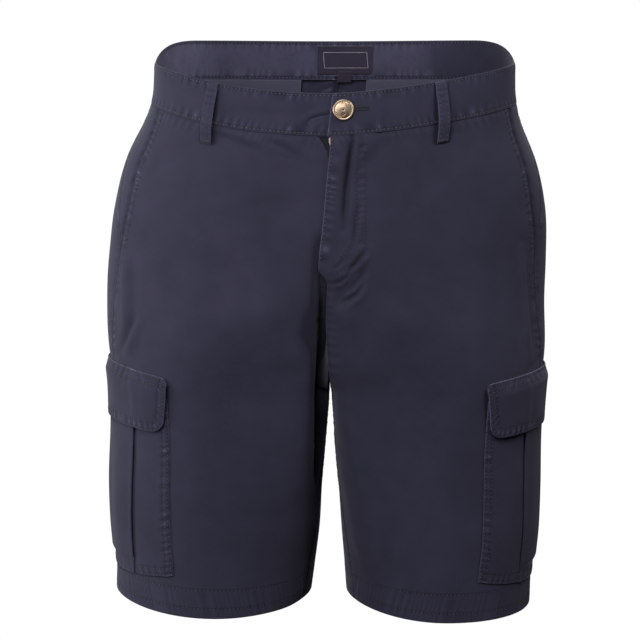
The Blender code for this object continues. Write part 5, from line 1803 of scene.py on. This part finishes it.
Light = namedtuple("Light", "name azimuth elevation size power")
LIGHTS = (
    Light("front", -15, 38, 1.0, 20.3),
    Light("left", -90, 8, 1.0, 22.1),
    Light("low_left", -40, 8, 1.0, 11.2),
    Light("right", 65, 38, 1.0, 14.5),
    Light("back_left", -155, 20, 1.0, 8),
    Light("back_right", 155, 20, 1.0, 8),
)
LIGHT_AIM, LIGHT_DISTANCE, SKY = (0, 0, -0.25), 2.2, 0.01


def add_lights():
    """Soft boxes round the front, by azimuth from the front (right is positive) and height."""
    for light in LIGHTS:
        azimuth, elevation = math.radians(light.azimuth), math.radians(light.elevation)
        away = Vector((
            math.sin(azimuth) * math.cos(elevation), -math.cos(azimuth) * math.cos(elevation),
            math.sin(elevation),
        ))
        data = bpy.data.lights.new(light.name, "AREA")
        data.size, data.energy = light.size, light.power
        box = bpy.data.objects.new(light.name, data)
        box.location = Vector(LIGHT_AIM) + LIGHT_DISTANCE * away
        box.rotation_euler = away.to_track_quat("Z", "Y").to_euler()
        bpy.context.scene.collection.objects.link(box)
    world = bpy.data.worlds.new("studio")
    world.use_nodes = True
    world.node_tree.nodes["Background"].inputs["Color"].default_value = (1, 1, 1, 1)
    world.node_tree.nodes["Background"].inputs["Strength"].default_value = SKY
    bpy.context.scene.world = world
    bpy.context.scene.view_settings.view_transform = "Standard"


def add_camera():
    data = bpy.data.cameras.new("camera")
    data.lens, data.sensor_width = LENS, SENSOR
    camera = bpy.data.objects.new("camera", data)
    camera.matrix_world = (
        Matrix.Translation(CAMERA_PLACE) @ Matrix.Rotation(math.pi / 2 - CAMERA_DIP, 4, "X")
        @ Matrix.Rotation(CAMERA_ROLL, 4, "Z")
    )
    bpy.context.scene.collection.objects.link(camera)
    bpy.context.scene.camera = camera


# ---- making the materials and the scene ----


def make_materials():
    for name, weave in WEAVES.items():
        MATERIALS[name] = woven(name, weave)
    for name, (deep, pale) in THREADS.items():
        MATERIALS[name] = spun(name, colour(*deep), colour(*pale))
    MATERIALS["brass"] = cast_brass("brass", *(colour(*tone) for tone in BRASS))


def main():
    make_materials()
    for side in (LEFT, RIGHT):
        add_front(side)
        add_back(side)
        add_hip_facing(side)
        add_cargo_pocket(side)
        add_flap(side)
        add_back_pocket(side)
    left_band = add_waistband()
    add_belt_loops()
    add_labels()
    add_zip_tapes()
    add_button()
    add_buttonhole(left_band)
    for node in ("zip_slider", "zip_pull_tab"):
        for material_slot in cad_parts[node].material_slots:
            material_slot.material = MATERIALS["brass"]
    add_stage()
    add_lights()
    add_camera()


main()
